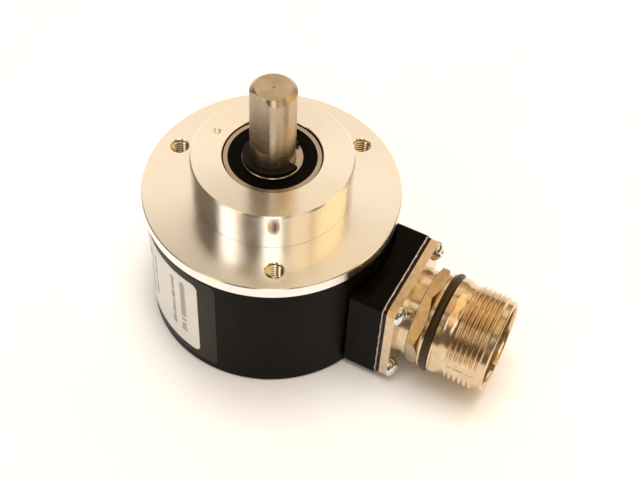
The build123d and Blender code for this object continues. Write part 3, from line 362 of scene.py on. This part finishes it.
def nickel(name="nickel plate"):
    """Nickel plating over turned brass: warm, satin, cloudy, with turning marks round X."""
    finish = Finish(name, metallic=1.0)
    cloud = finish.noise(2.2, detail=5)
    fine_cloud = finish.noise(0.5, detail=4)
    finish.colour(finish.stops(cloud, (0.28, (0.60, 0.46, 0.30)), (0.72, (0.76, 0.61, 0.43))))
    marks = finish.rings(0.5, direction="X", offset=CONNECTOR_OFFSET)
    lengthwise = finish.bands(0.45, direction="X", distortion=0.3)
    rough = finish.span(cloud, 0.18, 0.23)
    finish.roughness(finish.math("ADD", rough, finish.span(fine_cloud, -0.01, 0.01)))
    turned = finish.bump(finish.math("ADD", marks, lengthwise), 0.03, 0.003)
    finish.normal(finish.bump(cloud, 0.03, 0.010, before=turned))
    finish.brushed_round(0.3, axis="X")
    return finish.material


def zinc():
    """Bright zinc plating: cool silver with soft blotches."""
    finish = Finish("zinc plate", metallic=1.0)
    cloud = finish.noise(0.8, detail=4)
    finish.colour(finish.stops(cloud, (0.3, (0.58, 0.62, 0.62)), (0.7, (0.82, 0.85, 0.84))))
    finish.roughness(finish.span(cloud, 0.09, 0.16))
    finish.normal(finish.bump(cloud, 0.12, 0.01))
    return finish.material


def moulded(name, low, high, size=0.6, rough=(0.42, 0.55), depth=0.01, ior=1.45):
    """Moulded plastic or film with a fine uneven surface."""
    finish = Finish(name, ior=ior)
    mottle = finish.noise(size, detail=4)
    finish.colour(finish.stops(mottle, (0.3, low), (0.7, high)))
    finish.roughness(finish.span(mottle, *rough))
    finish.normal(finish.bump(mottle, 0.15, depth))
    return finish.material


def plain_metal(name, low, high, rough=(0.25, 0.38)):
    """Machined or drawn metal with turning marks round Z."""
    finish = Finish(name, metallic=1.0)
    cloud = finish.noise(1.4, detail=4)
    finish.colour(finish.stops(cloud, (0.3, low), (0.7, high)))
    finish.roughness(finish.span(cloud, *rough))
    finish.normal(finish.bump(finish.rings(0.15), 0.1, 0.004))
    return finish.material


def disc_glass():
    """Clear glass with fine dark lines round the code track."""
    finish = Finish("disc glass", ior=1.52)
    cloud = finish.noise(3.0)
    track = finish.rings(0.5, distortion=0.0)
    finish.colour(finish.stops(track, (0.45, (0.75, 0.82, 0.82)), (0.55, (0.35, 0.38, 0.4))))
    finish.roughness(finish.span(cloud, 0.03, 0.07))
    finish.shader.inputs["Transmission Weight"].default_value = 0.8
    return finish.material


def label_film():
    """Silver-white printed film: fine metallic grain and faint handling marks."""
    finish = Finish("label film", coat=0.15, coat_roughness=0.3)
    grain = finish.noise(0.3, detail=5)
    cloud = finish.noise(6.0, detail=3)
    base = finish.stops(cloud, (0.3, (0.80, 0.79, 0.77)), (0.7, (0.88, 0.87, 0.85)))
    finish.colour(finish.mix(finish.span(grain, 0.0, 0.25), base, (0.68, 0.67, 0.65)))
    finish.roughness(finish.span(grain, 0.34, 0.46))
    finish.normal(finish.bump(grain, 0.08, 0.006))
    return finish.material


def circuit_board():
    """Green solder mask over faint copper tracks."""
    finish = Finish("circuit board", coat=0.3, coat_roughness=0.15)
    tracks = finish.math("MULTIPLY", finish.bands(1.3, direction="X"), finish.bands(1.9, direction="Y"))
    finish.colour(finish.stops(tracks, (0.25, (0.010, 0.085, 0.035)), (0.6, (0.02, 0.16, 0.06))))
    finish.roughness(finish.span(finish.noise(0.8), 0.25, 0.38))
    finish.normal(finish.bump(tracks, 0.2, 0.02))
    return finish.material


MATERIALS = {
    "turned_aluminium": turned_aluminium(),
    "ground_steel": ground_steel(),
    "black_spring_steel": black_spring_steel(),
    "bearing_steel": bearing_steel(),
    "cage_polymer": moulded("cage polymer", (0.52, 0.46, 0.34), (0.64, 0.58, 0.45)),
    "black_cover": black_paint(
        "black cover paint", (0.0026, 0.0019, 0.0011), (0.0045, 0.0034, 0.0022), 0.26, 0.34, 0.12
    ),
    "black_block": black_paint(
        "black block paint", (0.0012, 0.0008, 0.0004), (0.003, 0.002, 0.0012), 0.20, 0.30, 0.3
    ),
    "black_rubber": rubber("black rubber", (0.0012, 0.0008, 0.0004), (0.0035, 0.0025, 0.0015), ior=1.12),
    "dark_gasket": rubber("dark gasket", (0.012, 0.003, 0.002), (0.030, 0.009, 0.006), size=0.5),
    "pale_shim": moulded("pale shim", (0.42, 0.37, 0.31), (0.62, 0.57, 0.50), size=0.4, rough=(0.5, 0.7)),
    "nickel_plate": nickel(),
    "zinc_screws": zinc(),
    "insert_plastic": moulded("insert plastic", (0.045, 0.042, 0.030), (0.070, 0.066, 0.050)),
    "gold_contacts": plain_metal(
        "gold contacts", (0.80, 0.56, 0.22), (0.92, 0.70, 0.34), rough=(0.15, 0.25)
    ),
    "signal_wire_cover": moulded(
        "signal wire cover", (0.12, 0.20, 0.42), (0.18, 0.28, 0.52), rough=(0.3, 0.4)
    ),
    "supply_wire_cover": moulded(
        "supply wire cover", (0.45, 0.05, 0.03), (0.58, 0.09, 0.05), rough=(0.3, 0.4)
    ),
    "hub_brass": plain_metal("hub brass", (0.62, 0.45, 0.20), (0.75, 0.57, 0.29)),
    "disc_glass": disc_glass(),
    "lamp_lens": moulded("lamp lens", (0.55, 0.57, 0.60), (0.66, 0.68, 0.70), rough=(0.08, 0.15)),
    "holder_plastic": moulded("holder plastic", (0.020, 0.020, 0.020), (0.035, 0.035, 0.035)),
    "chip_plastic": moulded("chip plastic", (0.012, 0.012, 0.013), (0.024, 0.024, 0.026), size=0.2),
    "capacitor_can": plain_metal("capacitor can", (0.60, 0.60, 0.62), (0.72, 0.72, 0.74)),
    "board_laminate": circuit_board(),
    "standoff_brass": plain_metal("standoff brass", (0.64, 0.50, 0.25), (0.76, 0.62, 0.34)),
    "label_film": label_film(),
    "backing_film": moulded(
        "backing film", (0.024, 0.021, 0.014), (0.034, 0.029, 0.020), size=1.5, rough=(0.36, 0.46), ior=1.2
    ),
}

for part in frame["record"]["subparts"]:
    node = NODES[part["node"]]
    node.data.materials.clear()
    node.data.materials.append(MATERIALS[part["material_slot"]])

for sharp_edged in ("connector_plate", "connector_block"):
    softened = NODES[sharp_edged].modifiers.new("soft edges", "BEVEL")
    softened.width = 0.12 * MM
    softened.segments = 2
    softened.limit_method = "ANGLE"
    softened.angle_limit = math.radians(40)

oiled_rubber = rubber(
    "oiled rubber", (0.010, 0.006, 0.003), (0.022, 0.014, 0.007), ior=1.5, sheen=(1.0, 0.72, 0.42)
)
NODES["connector_o_ring"].data.materials[0] = oiled_rubber


# ---------------------------------------------------------------- connector shell
TURN_STEPS = 360
TUBE_R = 9.7
HEX_X = 39.7
HEX_END_X = 42.6
HEX_CORNER_R = 11.55
HEX_FLAT_R = HEX_CORNER_R * math.cos(math.pi / 6)
HEX_TURN = math.radians(45)
HEX_BACK_BEVEL = 0.35
HEX_FRONT_BEVEL = 0.9
GROOVE_R = 9.9
COLLAR_X = 43.0
COLLAR_END_X = 43.7
COLLAR_R = 11.35
RING_SEAT_R = 10.2
BODY_X = 45.5
BODY_END_X = 46.0
BODY_R = 11.45
EDGE_BREAK = 0.12
TAPER_START_X = 46.9
TAPER_STEPS = 14
THREAD_START_X = 49.3
THREAD_END_X = 56.9
THREAD_ROOT_R = 10.8
THREAD_CREST_R = 11.5
# Drawn coarser than the standard 23 mm thread, whose pitch is 1 mm.
THREAD_PITCH = 1.2
THREAD_RUN_IN = 0.8
THREAD_RUN_OUT = 0.5
STEPS_PER_PITCH = 24
SHELL_FLAT_DISTANCE = 10.65
SHELL_FLAT_START_X = 46.1
KEY_ANGLE = math.radians(274)
KEY_HALF_WIDTH = 0.75
KEY_DEPTH = 0.35
KEY_LENGTH = 5.0
MOUTH_R = 9.8
RIM_R = 10.75
INSERT_FACE_X = 49.0
INSERT_SEAT_R = 9.0
SHELL_RIM_X = RIM_X / MM


def hexagon_radius(x, turn):
    """Distance from the axis to a flat of the hexagon."""
    sector = math.pi / 3
    from_flat = (turn - HEX_TURN) % sector - sector / 2
    return HEX_FLAT_R / math.cos(from_flat)


def hexagon_edge(end_x, bevel):
    """X, by turn, of the edge between the flats and a turned bevel, which bows along each flat."""
    rise = HEX_CORNER_R - HEX_FLAT_R
    return lambda turn: end_x + bevel * (hexagon_radius(0, turn) - HEX_FLAT_R) / rise


def thread_radius(x, turn):
    """Right-handed thread that runs out at both ends."""
    phase = x / THREAD_PITCH - turn / (2 * math.pi)
    wave = 0.5 + 0.5 * math.cos(2 * math.pi * phase)
    run_in = min(1.0, max(0.0, (x - THREAD_START_X) / THREAD_RUN_IN))
    run_out = min(1.0, max(0.0, (THREAD_END_X + 0.1 - x) / THREAD_RUN_OUT))
    return THREAD_ROOT_R + (THREAD_CREST_R - THREAD_ROOT_R) * wave * run_in * run_out


def round_radius(radius):
    return lambda x, turn: radius


def keyed_radius(x, turn):
    """The mouth's bore with its keyway."""
    sideways = abs(math.sin(turn - KEY_ANGLE)) * MOUTH_R
    in_key = math.cos(turn - KEY_ANGLE) > 0 and sideways < KEY_HALF_WIDTH
    return MOUTH_R + (KEY_DEPTH if in_key and x > SHELL_RIM_X - KEY_LENGTH else 0)


def spaced(start, end, count):
    return [start + (end - start) * step / (count - 1) for step in range(count)]


def shell_stations():
    """(x, radius function, whether the milled flat cuts here) from the hexagon to the mouth and in."""
    stations = [
        (HEX_X, round_radius(TUBE_R), False),
        (HEX_X, round_radius(HEX_FLAT_R), False),
        (hexagon_edge(HEX_X, HEX_BACK_BEVEL), hexagon_radius, False),
        (hexagon_edge(HEX_END_X, -HEX_FRONT_BEVEL), hexagon_radius, False),
        (HEX_END_X, round_radius(HEX_FLAT_R), False),
    ]
    body = [
        (HEX_END_X, GROOVE_R),
        (COLLAR_X, GROOVE_R),
        (COLLAR_X, COLLAR_R - EDGE_BREAK),
        (COLLAR_X + EDGE_BREAK, COLLAR_R),
        (COLLAR_END_X - EDGE_BREAK, COLLAR_R),
        (COLLAR_END_X, COLLAR_R - EDGE_BREAK),
        (COLLAR_END_X, RING_SEAT_R),
        (BODY_X, RING_SEAT_R),
        (BODY_X, BODY_R - EDGE_BREAK),
        (BODY_X + EDGE_BREAK, BODY_R),
        (BODY_END_X, BODY_R),
    ]
    stations += [(x, round_radius(radius), False) for x, radius in body]
    stations.append((SHELL_FLAT_START_X, round_radius(BODY_R), True))
    taper_end_r = THREAD_ROOT_R - 0.05
    for step in range(TAPER_STEPS + 1):
        part = step / TAPER_STEPS
        ease = 0.5 + 0.5 * math.cos(math.pi * part ** 0.8)
        x = TAPER_START_X + (THREAD_START_X - TAPER_START_X) * part
        stations.append((x, round_radius(taper_end_r + (BODY_R - taper_end_r) * ease), True))
    thread_steps = int((THREAD_END_X - THREAD_START_X) * STEPS_PER_PITCH / THREAD_PITCH)
    for step in range(1, thread_steps + 1):
        x = THREAD_START_X + step * THREAD_PITCH / STEPS_PER_PITCH
        stations.append((x, thread_radius, True))
    lead = [
        (THREAD_END_X + 0.15, RIM_R),
        (SHELL_RIM_X - 0.35, RIM_R),
        (SHELL_RIM_X - 0.1, RIM_R - 0.22),
        (SHELL_RIM_X, RIM_R - 0.38),
    ]
    stations += [(x, round_radius(radius), True) for x, radius in lead]
    stations.append((SHELL_RIM_X, round_radius(MOUTH_R + 0.3), False))
    stations.append((SHELL_RIM_X - 0.08, round_radius(MOUTH_R + 0.16), False))
    key_end_x = SHELL_RIM_X - KEY_LENGTH
    for x in spaced(SHELL_RIM_X - 0.3, key_end_x, 8) + [key_end_x - 0.02, INSERT_FACE_X]:
        stations.append((x, keyed_radius, False))
    stations.append((INSERT_FACE_X, round_radius(INSERT_SEAT_R), False))
    stations.append((HEX_X, round_radius(INSERT_SEAT_R), False))
    return stations


def shell_point(x, radius, turn, milled):
    y = radius * math.cos(turn)
    z = radius * math.sin(turn)
    if milled:
        y = max(y, -SHELL_FLAT_DISTANCE)
    return (x * MM, y * MM, z * MM + CONNECTOR_Z)


def connector_shell():
    rings = []
    turns = [2 * math.pi * step / TURN_STEPS for step in range(TURN_STEPS)]
    for x, radius_at, milled in shell_stations():
        ring = []
        for turn in turns:
            along = x(turn) if callable(x) else x
            ring.append(shell_point(along, radius_at(along, turn), turn, milled))
        rings.append(ring)
    mesh = mesh_from_rings("connector_shell_detail", rings, closed=True)
    face_outwards(mesh)
    plating = MATERIALS["nickel_plate"]
    piece = add_object("connector_shell_detail", mesh, "housing", plating, 40)
    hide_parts("connector_shell")


connector_shell()


# ---------------------------------------------------------------- engraved line on the milled flat
def block_mesh(name, low, high):
    """Closed box between two corners, given in millimetres from the connector's axis."""
    corners = []
    for x in (low[0], high[0]):
        for y, z in ((low[1], low[2]), (high[1], low[2]), (high[1], high[2]), (low[1], high[2])):
            corners.append((x * MM, y * MM, z * MM + CONNECTOR_Z))
    faces = [(0, 1, 2, 3), (4, 7, 6, 5), (0, 4, 5, 1), (1, 5, 6, 2), (2, 6, 7, 3), (3, 7, 4, 0)]
    mesh = bpy.data.meshes.new(name)
    mesh.from_pydata(corners, [], faces)
    face_outwards(mesh)
    return mesh


# (start, end, width) of each stroke; they lie this far above the axis and stand this far proud.
STROKES = ((49.9, 51.1, 0.14), (51.5, 53.6, 0.20), (54.0, 56.7, 0.12))
STROKE_RISE = 0.2
STROKE_PROUD = 0.006
STROKE_THICKNESS = 0.05


def engraved_line():
    """Blackened strokes along the flat, a generic line in place of any marking."""
    outer = -SHELL_FLAT_DISTANCE - STROKE_PROUD
    inner = outer + STROKE_THICKNESS
    meshes = []
    for start, end, width in STROKES:
        low = (start, outer, STROKE_RISE - width / 2)
        high = (end, inner, STROKE_RISE + width / 2)
        meshes.append(block_mesh("stroke", low, high))
    mesh = join_meshes("engraved_line", meshes)
    dark = plain_metal("blackened metal", (0.05, 0.032, 0.018), (0.11, 0.07, 0.04), rough=(0.4, 0.5))
    add_object("engraved_line", mesh, "housing", dark)


engraved_line()


# ---------------------------------------------------------------- domed screws of the connector plate
SCREW_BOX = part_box("plate_screws")
SCREW_HEAD_R = 2.35
SCREW_SHANK_R = 1.5
SCREW_HEAD_T = 1.7
SCREW_RIM_T = 0.55
SCREW_STEPS = 96
RECESS_REACH = 1.25
RECESS_HALF_WIDTH = 0.30
RECESS_DEPTH = 0.95


def dome_height(sideways, upwards):
    """Height of the head above its seat at a place across it, with the cross recess sunk in."""
    reach = math.hypot(sideways, upwards)
    fall = (SCREW_HEAD_T - SCREW_RIM_T) * (reach / SCREW_HEAD_R) ** 2.4
    arms = sorted((abs(sideways), abs(upwards)))
    in_width = min(1.0, max(0.0, (RECESS_HALF_WIDTH + 0.06 - arms[0]) / 0.12))
    in_reach = min(1.0, max(0.0, (RECESS_REACH - arms[1]) / 0.9))
    return SCREW_HEAD_T - fall - RECESS_DEPTH * in_width * in_reach


def domed_screw(seat_x, tip_x, y, z, turned_by):
    """One screw along X: a domed head in rings round its cross recess, then a plain shank."""
    turns = [2 * math.pi * step / SCREW_STEPS for step in range(SCREW_STEPS)]
    rings = []
    for reach in [0.01] + spaced(0.08, SCREW_HEAD_R - 0.02, 34):
        ring = []
        for turn in turns:
            sideways = reach * math.cos(turn)
            upwards = reach * math.sin(turn)
            ring.append((dome_height(sideways, upwards), reach, turn + turned_by))
        rings.append(ring)
    sides = [
        (SCREW_RIM_T - 0.06, SCREW_HEAD_R),
        (0.0, SCREW_HEAD_R),
        (0.0, SCREW_SHANK_R),
        (tip_x - seat_x, SCREW_SHANK_R),
    ]
    rings += [[(height, radius, turn + turned_by) for turn in turns] for height, radius in sides]
    places = []
    for ring in rings:
        places.append([
            ((seat_x + height) * MM, (y + radius * math.cos(turn)) * MM, (z + radius * math.sin(turn)) * MM)
            for height, radius, turn in ring
        ])
    mesh = mesh_from_rings("domed_screw", places)
    close_ends(mesh)
    return mesh


def plate_screws():
    """Four domed screws where the CAD has them, each stopped at its own turn of the driver."""
    reach = (SCREW_BOX[1][1] - SCREW_BOX[0][1]) / 2 / MM - SCREW_HEAD_R
    seat_x = SCREW_BOX[1][0] / MM - SCREW_HEAD_T
    tip_x = SCREW_BOX[0][0] / MM
    meshes = []
    for y_side, z_side, turned_by in ((1, 1, 0.4), (1, -1, 1.1), (-1, 1, 0.7), (-1, -1, 0.2)):
        z = CONNECTOR_Z / MM + z_side * reach
        meshes.append(domed_screw(seat_x, tip_x, y_side * reach, z, turned_by))
    mesh = join_meshes("plate_screws_detail", meshes)
    piece = add_object("plate_screws_detail", mesh, "housing", MATERIALS["zinc_screws"], 40)
    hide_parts("plate_screws")


plate_screws()


# ---------------------------------------------------------------- threads in the mounting holes
BOLT_CIRCLE_R = 24.0
BOLT_ANGLES = (60, 180, 300)
BOLT_R = 2.0
BOLT_CREST_R = 1.62
BOLT_PITCH = 0.7
BOLT_THREAD_TOP = -0.25
BOLT_THREAD_TURNS = 6
BOLT_STEPS_PER_TURN = 40


def helix_ridge(name, centre, top):
    """Ridge of an internal thread wound down a hole."""
    steps_per_turn = BOLT_STEPS_PER_TURN
    half = 0.42 * BOLT_PITCH
    root_r = BOLT_R + 0.02
    crest_r = BOLT_CREST_R + 0.02
    profile = ((root_r, half), (crest_r, 0.05), (crest_r, -0.05), (root_r, -half))
    rings = []
    total = steps_per_turn * BOLT_THREAD_TURNS
    for step in range(total + 1):
        turn = 2 * math.pi * step / steps_per_turn
        drop = top - half - BOLT_PITCH * step / steps_per_turn
        grow = min(1.0, step / 20, (total - step) / 20)
        ring = []
        for radius, rise in profile:
            reach = root_r - (root_r - radius) * max(grow, 0.02)
            ring.append((
                (centre[0] + reach * math.cos(turn)) * MM,
                (centre[1] - reach * math.sin(turn)) * MM,
                (drop + rise * max(grow, 0.05)) * MM,
            ))
        rings.append(ring)
    mesh = mesh_from_rings(name, rings)
    close_ends(mesh)
    return mesh


def hole_threads():
    meshes = []
    for angle in BOLT_ANGLES:
        turn = math.radians(angle)
        centre = (BOLT_CIRCLE_R * math.cos(turn), BOLT_CIRCLE_R * math.sin(turn))
        meshes.append(helix_ridge("hole_thread", centre, BOLT_THREAD_TOP))
    mesh = join_meshes("mounting_hole_threads", meshes)
    cut = plain_metal("cut thread", (0.50, 0.40, 0.28), (0.66, 0.55, 0.42), rough=(0.10, 0.18))
    add_object("mounting_hole_threads", mesh, "housing", cut)


hole_threads()


# ---------------------------------------------------------------- wavy edge of the shim
SHIM_CORNER_R = 1.0
SHIM_STEPS = 480
BEAD_STEPS = 8


def shim_edge():
    """Squeezed-out edge of the thin shim: a closed, uneven bead round the square."""
    half = (SHIM_BOX[1][1] - SHIM_BOX[0][1]) / 2 / MM
    corner = SHIM_CORNER_R
    straight = 2 * (half - corner)
    arc = math.pi / 2 * corner
    side = straight + arc
    rings = []
    x_middle = (SHIM_BOX[0][0] + SHIM_BOX[1][0]) / 2 / MM
    for step in range(SHIM_STEPS):
        along = 4 * side * step / SHIM_STEPS
        quarter, into = divmod(along, side)
        if into < straight:
            point = Vector((half, -half + corner + into))
            outward = Vector((1, 0))
        else:
            swing = (into - straight) / corner
            outward = Vector((math.cos(swing), math.sin(swing)))
            point = Vector((half - corner, half - corner)) + outward * corner
        turn = Matrix.Rotation(quarter * math.pi / 2, 2)
        point = turn @ point
        outward = turn @ outward
        loop = 2 * math.pi * step / SHIM_STEPS
        sway = 0.09 * math.sin(23 * loop + 0.6) + 0.06 * math.sin(41 * loop + 2.0)
        sway += 0.03 * math.sin(97 * loop)
        thick = 0.11 + 0.03 * math.sin(31 * loop + 1.0) + 0.02 * math.sin(67 * loop + 0.4)
        proud = 0.02 + 0.05 * math.sin(17 * loop + 1.3)
        ring = []
        for bead_step in range(BEAD_STEPS):
            spin = 2 * math.pi * bead_step / BEAD_STEPS
            outset = proud + thick * math.cos(spin)
            ring.append((
                (x_middle + sway + 1.1 * thick * math.sin(spin)) * MM,
                (point.x + outward.x * outset) * MM,
                (point.y + outward.y * outset) * MM + CONNECTOR_Z,
            ))
        rings.append(ring)
    mesh = mesh_from_rings("shim_edge", rings, closed=True)
    face_outwards(mesh)
    add_object("shim_edge", mesh, "housing", MATERIALS["pale_shim"], crease_degrees=60)


shim_edge()


# ---------------------------------------------------------------- print on the label
PRINT_R = COVER_R / MM + 0.195
PRINT_T = 0.012
PRINT_BEND_STEPS = 4
PRINT_GAPS = (0.45, 0.50, 0.60, 1.3)
# Each row runs down the label: (angle round the cover, height of the print, start, end)
PRINT_ROWS = (
    (-105.0, 1.9, -9.4, -27.4),
    (-111.6, 1.5, -10.0, -27.8),
    (-127.5, 1.2, -11.5, -25.0),
    (-133.0, 1.2, -11.5, -29.0),
    (-150.0, 1.2, -10.0, -28.0),
    (-155.5, 1.2, -10.0, -22.0),
    (-172.0, 1.6, -10.0, -28.5),
    (-190.0, 1.2, -10.0, -26.0),
)


def print_bar(middle_angle, width, bottom, top):
    """Flat dark bar on the label, bent round the cover; width is along the label."""
    half = math.degrees(width / 2 / PRINT_R)
    steps = PRINT_BEND_STEPS
    rows = []
    for radius in (PRINT_R - PRINT_T, PRINT_R):
        for z in (bottom, top):
            row = []
            for step in range(steps + 1):
                angle = math.radians(middle_angle - half + 2 * half * step / steps)
                row.append((radius * math.cos(angle) * MM, radius * math.sin(angle) * MM, z * MM))
            rows.append(row)
    ring_order = (rows[0], rows[1], rows[3], rows[2])
    rings = [[row[step] for row in ring_order] for step in range(steps + 1)]
    mesh = mesh_from_rings("bar", rings)
    close_ends(mesh)
    return mesh


def label_print():
    """Rows of short plain bars where a printed label would have its lines."""
    chance = random.Random(7)
    meshes = []
    for angle, width, top, bottom in PRINT_ROWS:
        z = top
        while z > bottom + 0.6:
            length = chance.uniform(0.30, 0.55)
            meshes.append(print_bar(angle, width * chance.uniform(0.55, 1.0), z - length, z))
            z -= length + chance.choice(PRINT_GAPS)
    mesh = join_meshes("label_print", meshes)
    ink = moulded("label ink", (0.012, 0.008, 0.006), (0.025, 0.018, 0.014), size=0.3)
    add_object("label_print", mesh, "housing", ink)


label_print()


# ---------------------------------------------------------------- floor, light and camera
VIEW_TURN = 24.5
LAMP_DISTANCE = 1.0
FLOOR_REACH = 4.0
CAMERA_ELEVATION = math.radians(51.232)
CAMERA_ROLL = math.radians(3.767)
CAMERA_DISTANCE = 279.561
CAMERA_TARGET = Vector((11.318, 0, -18.518))
CAMERA_LENS = 67.10


def floor():
    """Plain pale table under the part."""
    finish = Finish("floor", ior=1.35)
    cloud = finish.noise(60.0, detail=4)
    finish.colour(finish.stops(cloud, (0.3, (0.92, 0.915, 0.90)), (0.7, (0.95, 0.945, 0.93))))
    finish.roughness(finish.span(finish.noise(3.0, detail=3), 0.55, 0.7))
    mesh = bpy.data.meshes.new("floor")
    sides = ((-1, -1), (1, -1), (1, 1), (-1, 1))
    corners = [(x * FLOOR_REACH, y * FLOOR_REACH, FLOOR_Z) for x, y in sides]
    mesh.from_pydata(corners, [], [(0, 1, 2, 3)])
    mesh.materials.append(finish.material)
    ground = bpy.data.objects.new("floor", mesh)
    bpy.context.scene.collection.objects.link(ground)


def soft_box(name, azimuth, elevation, wide, high, glow, distance=LAMP_DISTANCE):
    """Rectangular lamp aimed at the object; sizes are the degrees it spans as seen from there."""
    turn = math.radians(azimuth + VIEW_TURN)
    rise = math.radians(elevation)
    direction = Vector((math.cos(turn) * math.cos(rise), math.sin(turn) * math.cos(rise), math.sin(rise)))
    lamp = bpy.data.lights.new(name, "AREA")
    lamp.shape = "RECTANGLE"
    lamp.size = 2 * distance * math.tan(math.radians(wide) * math.cos(rise) / 2)
    lamp.size_y = 2 * distance * math.tan(math.radians(high) / 2)
    brightest = max(glow)
    lamp.energy = brightest * math.pi * lamp.size * lamp.size_y
    lamp.color = [channel / brightest for channel in glow]
    holder = bpy.data.objects.new(name, lamp)
    bpy.context.scene.collection.objects.link(holder)
    holder.location = direction * distance
    holder.rotation_euler = direction.to_track_quat("Z", "Y").to_euler()
    holder.visible_camera = False
    return holder


def lights():
    """Warm surroundings and nine soft lamps, each spanning the reflections that it stands for."""
    world = bpy.data.worlds.new("studio")
    bpy.context.scene.world = world
    world.use_nodes = True
    background = world.node_tree.nodes["Background"]
    background.inputs["Color"].default_value = (0.17, 0.125, 0.08, 1.0)
    background.inputs["Strength"].default_value = 1.0
    soft_box("window", -150, 50, 28, 36, (2.0, 1.85, 1.65))
    soft_box("window_low", -131, 33, 15, 15, (1.7, 1.2, 0.66))
    soft_box("front", -48, 50, 32, 34, (1.12, 0.85, 0.54))
    soft_box("front_slot", -85, 51, 28, 34, (1.95, 1.82, 1.56))
    soft_box("warm", 8, 40, 62, 48, (1.34, 0.96, 0.49))
    soft_box("back", 92, 41, 130, 26, (1.04, 0.88, 0.67))
    soft_box("back_low", 84, 17, 120, 22, (0.50, 0.33, 0.16))
    soft_box("overhead", 60, 80, 200, 44, (0.78, 0.58, 0.31))
    fill = soft_box("table_fill", 90, 88, 900, 40, (5.2, 5.4, 5.8), distance=5.0)
    fill.visible_glossy = False


def camera():
    """Camera at the photograph's angle."""
    back = Vector((0, -math.cos(CAMERA_ELEVATION), math.sin(CAMERA_ELEVATION)))
    right = Vector((1, 0, 0))
    up = back.cross(right)
    rolled_right = math.cos(CAMERA_ROLL) * right + math.sin(CAMERA_ROLL) * up
    rolled_up = -math.sin(CAMERA_ROLL) * right + math.cos(CAMERA_ROLL) * up
    axes = Matrix((rolled_right, rolled_up, back)).transposed().to_4x4()
    place = Matrix.Translation((CAMERA_TARGET + back * CAMERA_DISTANCE) * MM)
    lens = bpy.data.cameras.new("camera")
    lens.sensor_width = 36.0
    lens.lens = CAMERA_LENS
    lens.clip_start = 0.01
    lens.clip_end = 20
    eye = bpy.data.objects.new("camera", lens)
    bpy.context.scene.collection.objects.link(eye)
    eye.matrix_world = Matrix.Rotation(math.radians(VIEW_TURN), 4, "Z") @ place @ axes
    bpy.context.scene.camera = eye


floor()
lights()
camera()
bpy.context.scene.view_settings.view_transform = "Standard"
